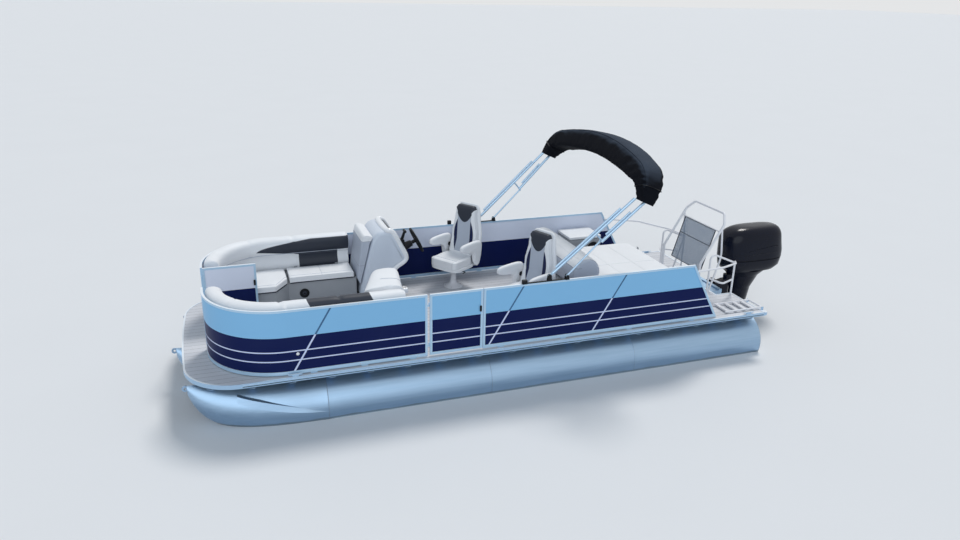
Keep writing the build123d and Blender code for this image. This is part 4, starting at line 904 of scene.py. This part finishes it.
for word, (at, turn) in CHAIRS.items():
    spot = Matrix.Translation((*at, 0)) @ Matrix.Rotation(math.radians(turn), 4, "Z")
    body = f"{word}_chair"
    shell = Piece(f"{word}_shell_skin")
    for rows, lean, power, count, material in (
        (SHELL_ROWS, 0.09, 3.2, 44, white_vinyl),
        (PAN_ROWS, 0, 4.5, 48, white_vinyl),
        (SLIDE_ROWS, 0, 8, 40, black),
    ):
        rings = [oval((x, 0, z), (a, 0, a * lean), (0, b, 0), count, power) for z, x, a, b in rows]
        shell.loft([[spot @ p for p in ring] for ring in rings], material)
    # Slide lever
    lever = ((0.05, 0.10, 0.852), (0.05, 0.25, 0.852), (0.12, 0.262, 0.856))
    shell.tube([spot @ Vector(p) for p in lever], 0.006, black)
    outline = smoothed([(x, 0, z) for x, z in ARM], 2, closed=True)
    heart = Vector((-0.07, 0, 1.13))
    for sense in (1, -1):
        rings = []
        for share, size in ARM_ROUNDING:
            aside = Vector((0, sense * (0.2385 + 0.0605 * share), 0))
            rings.append([spot @ (heart + (q - heart) * size + aside) for q in outline])
        shell.loft(rings, white_vinyl)
        pivot = spot @ Vector((-0.20, sense * 0.21, 1.10))
        out = spot.to_3x3() @ Vector((0, sense, 0))
        shell.turned([(0, 0.030), (0.01, 0.030), (0.07, 0.022)], pivot, out, black)
    shell.done(body, "vinyl_white", replaces=(f"{word}_shell",), angle=50)
    zoned = upholstery(f"{word}_vinyl", chair_zones, at, turn)
    cushions = pad(f"{word}_pads", f"{word}_cushions", body, zoned, voxel=0.009, soften=8)
    front = [spot @ Vector((0.17, y, 1.0)) for y in (-0.19, 0.19)]
    welts(f"{word}_welts", cushions, body, [(front, 0.003)], pearl_vinyl)

pedestals = Piece("pedestal_skins")
column = (
    (0, 0.133), (0.006, 0.134), (0.014, 0.120), (0.028, 0.085), (0.05, 0.055), (0.08, 0.042), (0.11, 0.0385),
    (0.20, 0.0385), (0.205, 0.036), (0.257, 0.036),
)
for (x, y), _ in CHAIRS.values():
    pedestals.turned(column, (x, y, DECK_TOP), UP, white_coat, sides=40)
    for t in turns(6):
        pedestals.screw((x + 0.108 * math.cos(t), y + 0.108 * math.sin(t), DECK_TOP + 0.0175), UP)
pedestals.done("hull", "rail_white", replaces=("chair_pedestals",))

# Helm console

HELM_SIDES, HELM_EDGE = (-0.550, -1.195), 0.055
HELM_PROFILE = (
    (0.994, 0.582), (0.985, 0.80), (0.935, 1.008), (0.83, 1.062), (0.742, 1.118), (0.84, 1.32), (0.925, 1.49),
    (0.975, 1.527), (1.12, 1.522), (1.188, 1.468), (1.236, 1.36), (1.384, 0.78), (1.396, 0.582),
)


def inset_chain(chain, inset):
    """Moves a closed chain of (x, z) points inward; the chain runs clockwise seen from port."""
    out = []
    for i, p in enumerate(chain):
        along = (chain[(i + 1) % len(chain)] - chain[i - 1]).normalized()
        out.append(Vector((p.x + along.z * inset, 0, p.z - along.x * inset)))
    return out


helm_outline = smoothed([(x, 0, z) for x, z in HELM_PROFILE], 2, closed=True)
helm_skin = Piece("helm_skin")
rings = []
for end, sense in zip(HELM_SIDES, (-1, 1)):
    bend = []
    for k in range(8):
        t = math.radians(90 * k / 7)
        depth, inset = HELM_EDGE * (1 - math.cos(t)), HELM_EDGE * (1 - math.sin(t))
        aside = Vector((0, end + sense * depth, 0))
        bend.append([p + aside for p in inset_chain(helm_outline, inset + 0.002)])
    rings += bend if sense < 0 else bend[::-1]
helm_skin.loft(rings, helm_finish())
helm_skin.done("hull", "console_white", replaces=("helm_console",), angle=40)

helm = Piece("helm_details")
# Rim round the dash
half = (
    (1.03, 1.527), (0.965, 1.522), (0.918, 1.47), (0.828, 1.29), (0.752, 1.135), (0.80, 1.078), (0.90, 1.022),
    (0.955, 0.95),
)
loop = [(x, -0.578, z) for x, z in half] + [(x, -1.167, z) for x, z in reversed(half)]
helm.tube(smoothed(loop, 3, closed=True), 0.040, rim_white, sides=16, closed=True, flat=0.85)
# Steering column
column_head = WHEEL_CENTRE + WHEEL_AXIS * 0.075
helm.turned([(0, 0.040), (0.02, 0.044), (0.12, 0.058)], column_head, WHEEL_AXIS, black)
# Gauges and switches down the dash
dash_top, face = 1.49, Vector((-0.894, 0, 0.447))
slope = Vector((-0.185, 0, -0.37)).normalized()
for y, r in ((-0.70, 0.042), (-0.82, 0.052), (-0.94, 0.042), (-1.05, 0.030)):
    at = Vector((0.93, y, dash_top)) + slope * 0.10 + face * 0.001
    helm.turned([(-0.004, r), (0.006, r), (0.009, r * 0.94), (0.008, r * 0.86)], at, face, black, sides=32)
    helm.turned([(-0.002, r * 0.86), (0.0045, r * 0.86), (0.0045, 0)], at, face, glass, sides=32)
for k in range(5):
    at = Vector((0.93, -0.66 - k * 0.035, dash_top)) + slope * 0.22
    turn = Matrix.Translation(at) @ Matrix.Rotation(math.radians(-26.5), 4, "Y")
    helm.block((-0.004, -0.012, -0.014), (0.006, 0.012, 0.014), black, 0.002, turn)
helm.done("hull", "black_plastic")

wheel = Piece("wheel_trim")
hub = [(0, 0.043), (-0.006, 0.043), (-0.014, 0.036), (-0.018, 0.020), (-0.019, 0)]
wheel.turned(hub, WHEEL_CENTRE - WHEEL_AXIS * 0.004, WHEEL_AXIS, gloss_black, sides=32)
wheel.done("helm_wheel", "black_plastic")

# Speakers, each with a dished cone

speakers = Piece("speakers")
# columns: distance out and share of the radius, material, sides
cone = (
    ([(0, 1), (0.006, 1), (0.010, 0.92), (0.004, 0.86)], black, 36),
    ([(0.001, 0.86), (0.003, 0.5), (0.006, 0.3), (0.012, 0.22), (0.014, 0)], charcoal_vinyl, 36),
    ([(0.0135, 0.2), (0.015, 0.16), (0.016, 0)], rubber, 20),
)
for at, out, radius in (
    ((2.10, 0.6395, 0.755), (0, -1, 0), 0.062),
    ((2.10, -0.6395, 0.755), ASIDE, 0.062),
    ((-2.10, -0.7595, 0.95), ASIDE, 0.09),
):
    for profile, material, sides in cone:
        speakers.turned([(along, radius * share) for along, share in profile], at, out, material, sides)
speakers.done("hull", "black_plastic")

# Canvas boot over the folded top

BOOT_FOOT, BOOT_TILT = Vector((-1.575, 0, 2.225)), math.radians(28)
BOOT_UP = Vector((-math.sin(BOOT_TILT), 0, math.cos(BOOT_TILT)))
BOOT_STEPS, BOOT_SIDES, BOOT_DEPTH = 150, 48, 0.163


def arc_through(a, b, c, steps):
    """Points of the circle through three points, in a plane of two coordinates."""
    a, b, c = (complex(*p) for p in (a, b, c))
    w = (c - a) / (b - a)
    centre = a + (b - a) * (w - abs(w) ** 2) / (2j * w.imag)
    sweep, mid = (cmath.phase((p - centre) / (a - centre)) % math.tau for p in (c, b))
    if mid > sweep:
        sweep -= math.tau
    arc = [centre + (a - centre) * cmath.rect(1, sweep * i / steps) for i in range(steps + 1)]
    return [(p.real, p.imag) for p in arc]


def boot_edge(foot, bend, shoulder, crown):
    """An edge of the boot from port to starboard: a crown between two shoulders, at even distances."""
    half = arc_through((foot, 0), bend, shoulder, 16)
    top = arc_through(shoulder, (0, crown), (-shoulder[0], shoulder[1]), 40)
    line = half + top[1:] + [(-y, up) for y, up in reversed(half[:-1])]
    lengths = distances([(*p, 0) for p in line])
    out, j = [], 0
    for i in range(BOOT_STEPS + 1):
        want = lengths[-1] * i / BOOT_STEPS
        while j < len(line) - 2 and lengths[j + 1] < want:
            j += 1
        share = (want - lengths[j]) / (lengths[j + 1] - lengths[j])
        y, up = (p + (q - p) * share for p, q in zip(line[j], line[j + 1]))
        out.append(Vector((0, y, 0)) + BOOT_UP * up)
    return out


outer = boot_edge(1.425, (1.365, 0.22), (1.095, 0.44), 0.605)
inner = boot_edge(1.262, (1.202, 0.095), (0.982, 0.19), 0.300)
rings = []
for i, (o, n) in enumerate(zip(outer, inner)):
    u = i / BOOT_STEPS
    away, half = (o - n).normalized(), (o - n).length / 2
    # The bundle lies flatter at the crown and is gathered in at its ends
    near = min(u, 1 - u)
    level = math.radians(24 - 12 * min(1.0, near / 0.3))
    out = Vector((math.cos(level), 0, math.sin(level)))
    deep = BOOT_DEPTH * (0.62 + 0.38 * math.sin(min(1.0, near / 0.15) * math.pi / 2))
    gathered = max(0.0, 1 - near / 0.16)
    ring = []
    for t in turns(BOOT_SIDES):
        a, b = squarish(t, 0.42)
        place = BOOT_FOOT + (o + n) / 2 + away * (a * half * 0.97) + out * (b * deep)
        fold = noise.noise(Vector((u * 52, b * 1.3, a * 1.4))) * (0.005 + 0.024 * gathered)
        fold += noise.noise(Vector((u * 16, b * 2.2, a * 2.0 + 5))) * 0.010
        ring.append(place - (away * a * 0.5 + out * b) * (abs(fold) + 0.003))
    rings.append(ring)
cover = Piece("boot_cover")
cover.loft(rings, canvas)
cover.done("folding_top", "top_canvas", replaces=("top_boot",), angle=60)
# Piping and zip along the boot's edges, and its straps
boot_trim = Piece("boot_trim")
for mark in (6, 18):
    boot_trim.tube([ring[mark] for ring in rings], 0.005, canvas, sides=6)
boot_trim.tube([ring[42] for ring in rings], 0.006, black, sides=6, flat=0.5)
for ring in (rings[9], rings[-10]):
    heart = sum(ring, Vector()) / BOOT_SIDES
    strap = [p.lerp(heart, -0.012) for p in ring]
    boot_trim.tube(strap, 0.012, black, sides=6, closed=True, flat=0.25)
boot_trim.done("folding_top", "top_canvas")

# Outboard: a moulded cowl with a lower pan and a seam

# columns: height, middle x, half length, half width, power
COWL_ROWS = (
    (0.692, -4.280, 0.405, 0.198, 3.0), (0.715, -4.281, 0.424, 0.210, 3.2),
    (0.76, -4.286, 0.464, 0.232, 3.3), (0.83, -4.287, 0.474, 0.240, 3.4),
    (0.868, -4.287, 0.478, 0.243, 3.4), (0.872, -4.287, 0.468, 0.234, 3.4),
    (0.882, -4.287, 0.468, 0.234, 3.4), (0.886, -4.287, 0.482, 0.249, 3.4),
    (0.99, -4.283, 0.482, 0.250, 3.4), (1.09, -4.271, 0.475, 0.246, 3.3),
    (1.17, -4.264, 0.466, 0.239, 3.4), (1.23, -4.272, 0.450, 0.226, 3.4),
    (1.275, -4.284, 0.424, 0.206, 3.3), (1.31, -4.302, 0.385, 0.178, 3.2),
    (1.333, -4.318, 0.338, 0.146, 3.0), (1.344, -4.330, 0.270, 0.104, 2.8),
    (1.3465, -4.335, 0.140, 0.050, 2.4),
)
motor = Piece("cowl_skin")
motor.loft([oval((x, 0, z), (a, 0, 0), (0, b, 0), 72, power) for z, x, a, b, power in COWL_ROWS], gloss_black)
seam = oval((-4.287, 0, 0.877), (0.472, 0, 0), (0, 0.238, 0), 72, 3.4)
motor.tube(seam, 0.004, rubber, sides=6, closed=True)
# Raised strakes on the sides
for side in (1, -1):
    for low, high, start, end in ((0.955, 0.985, -4.02, -4.60), (1.02, 1.075, -4.08, -4.58)):
        line = []
        for i in range(15):
            share = i / 14
            x, z = start + (end - start) * share, low + (high - low) * math.sin(share * math.pi / 2)
            line.append((x, side * 0.2475 * (1 - abs((x + 4.285) / 0.49) ** 3.4) ** (1 / 3.4), z))
        motor.tube(line, 0.006, gloss_black, sides=8, flat=0.6)
# Grip at the back and latch at the front
motor.block((-4.772, -0.085, 1.045), (-4.752, 0.085, 1.085), rubber, 0.008)
motor.block((-3.812, -0.03, 0.84), (-3.796, 0.03, 0.92), rubber, 0.006)
motor.done("motor", "motor_black", replaces=("motor_cowl",), angle=40)

# Stern net, stretched on its frame

NET_HEAD, NET_FOOT, NET_WIDTH, NET_ACROSS, NET_DOWN = (
    Vector((-3.362, 0, 1.442)), Vector((-3.197, 0, 0.860)), 0.72, 36, 24
)
rows = []
for i in range(NET_ACROSS + 1):
    row = []
    for j in range(NET_DOWN + 1):
        share = j / NET_DOWN
        slack = 0.004 * math.sin(math.pi * share) * math.sin(math.pi * i / NET_ACROSS)
        aside = Vector((slack, NET_WIDTH * (i / NET_ACROSS - 0.5), 0))
        row.append(NET_HEAD.lerp(NET_FOOT, share) + aside)
    rows.append(row)
stern_net = Piece("stern_net")
wide = NET_DOWN + 1
cells = [i * wide + j for i in range(NET_ACROSS) for j in range(NET_DOWN)]
faces = [(k, k + 1, k + 1 + wide, k + wide) for k in cells]
stern_net.add([p for row in rows for p in row], faces, net_cloth)
net_sheet = stern_net.done("hull", "mesh_grey", replaces=("stern_mesh",))
hem = Piece("net_hems")
for line in (rows[0], rows[-1], *([row[j] for row in rows] for j in (0, NET_DOWN, 9))):
    hem.tube(line, 0.011, charcoal_vinyl, sides=6, flat=0.3)
hem.done("hull", "mesh_grey")

# Stage: floor at the waterline, soft light, camera

floor_mesh = bpy.data.meshes.new("floor")
corners = [(-200, -200, 0), (200, -200, 0), (200, 200, 0), (-200, 200, 0)]
floor_mesh.from_pydata(corners, [], [(0, 1, 2, 3)])
floor = placed("floor", floor_mesh)
ground = Net("pale_floor")
tone = ground.mix(ground.noise(0.6), (0.76, 0.765, 0.775), (0.78, 0.785, 0.795))
floor_mesh.materials.append(ground.finish(colour=tone, rough=0.8, shine=0.2))


def lamp(name, toward, angle, strength, colour):
    """A wide, distant soft lamp shining along a direction."""
    light = bpy.data.lights.new(name, "SUN")
    with_values(light, angle=math.radians(angle), energy=strength, color=colour)
    placed(name, light).rotation_euler = Vector(toward).to_track_quat("-Z", "Y").to_euler()


lamp("key", (0.35, 0.38, -0.86), 16, 1.7, (1.0, 0.975, 0.94))
lamp("fill", (-0.3, -0.8, -0.35), 60, 0.9, (0.86, 0.94, 1.0))

# The sky lights the boat, and a plainer one is seen and reflected
world = Net("pale", bpy.data.worlds)
scene.world = world.owner
lit = world.node("Background", 0, {"Color": (0.76, 0.87, 1.0), "Strength": 0.45})
shown = world.node("Background", 0, {"Color": (0.78, 0.79, 0.80)})
ways = ("Camera", "Glossy", "Transmission")
seen, glossy, clear = (world.node("LightPath", f"Is {way} Ray") for way in ways)
either = world.node("MixShader", 0, {0: seen | glossy | clear, 1: lit, 2: shown})
world.feed(world.tree.nodes["World Output"].inputs[0], either)

# The camera stands off the port bow, a little rolled
yaw, pitch, roll = 0.3463, 0.3541, 0.0224
forward = -Vector((math.sin(yaw) * math.cos(pitch), math.cos(yaw) * math.cos(pitch), math.sin(pitch)))
level = forward.cross(Vector(UP)).normalized()
upright = level.cross(forward)
right = level * math.cos(roll) + upright * math.sin(roll)
upward = upright * math.cos(roll) - level * math.sin(roll)
camera = placed("camera", bpy.data.cameras.new("camera"))
with_values(camera.data, lens=28.70, clip_end=1000)
aim = Matrix((right, upward, -forward)).transposed()
camera.matrix_world = Matrix.Translation((3.0835, 8.7369, 4.510)) @ aim.to_4x4()
scene.camera = camera
scene.view_settings.view_transform = "Standard"
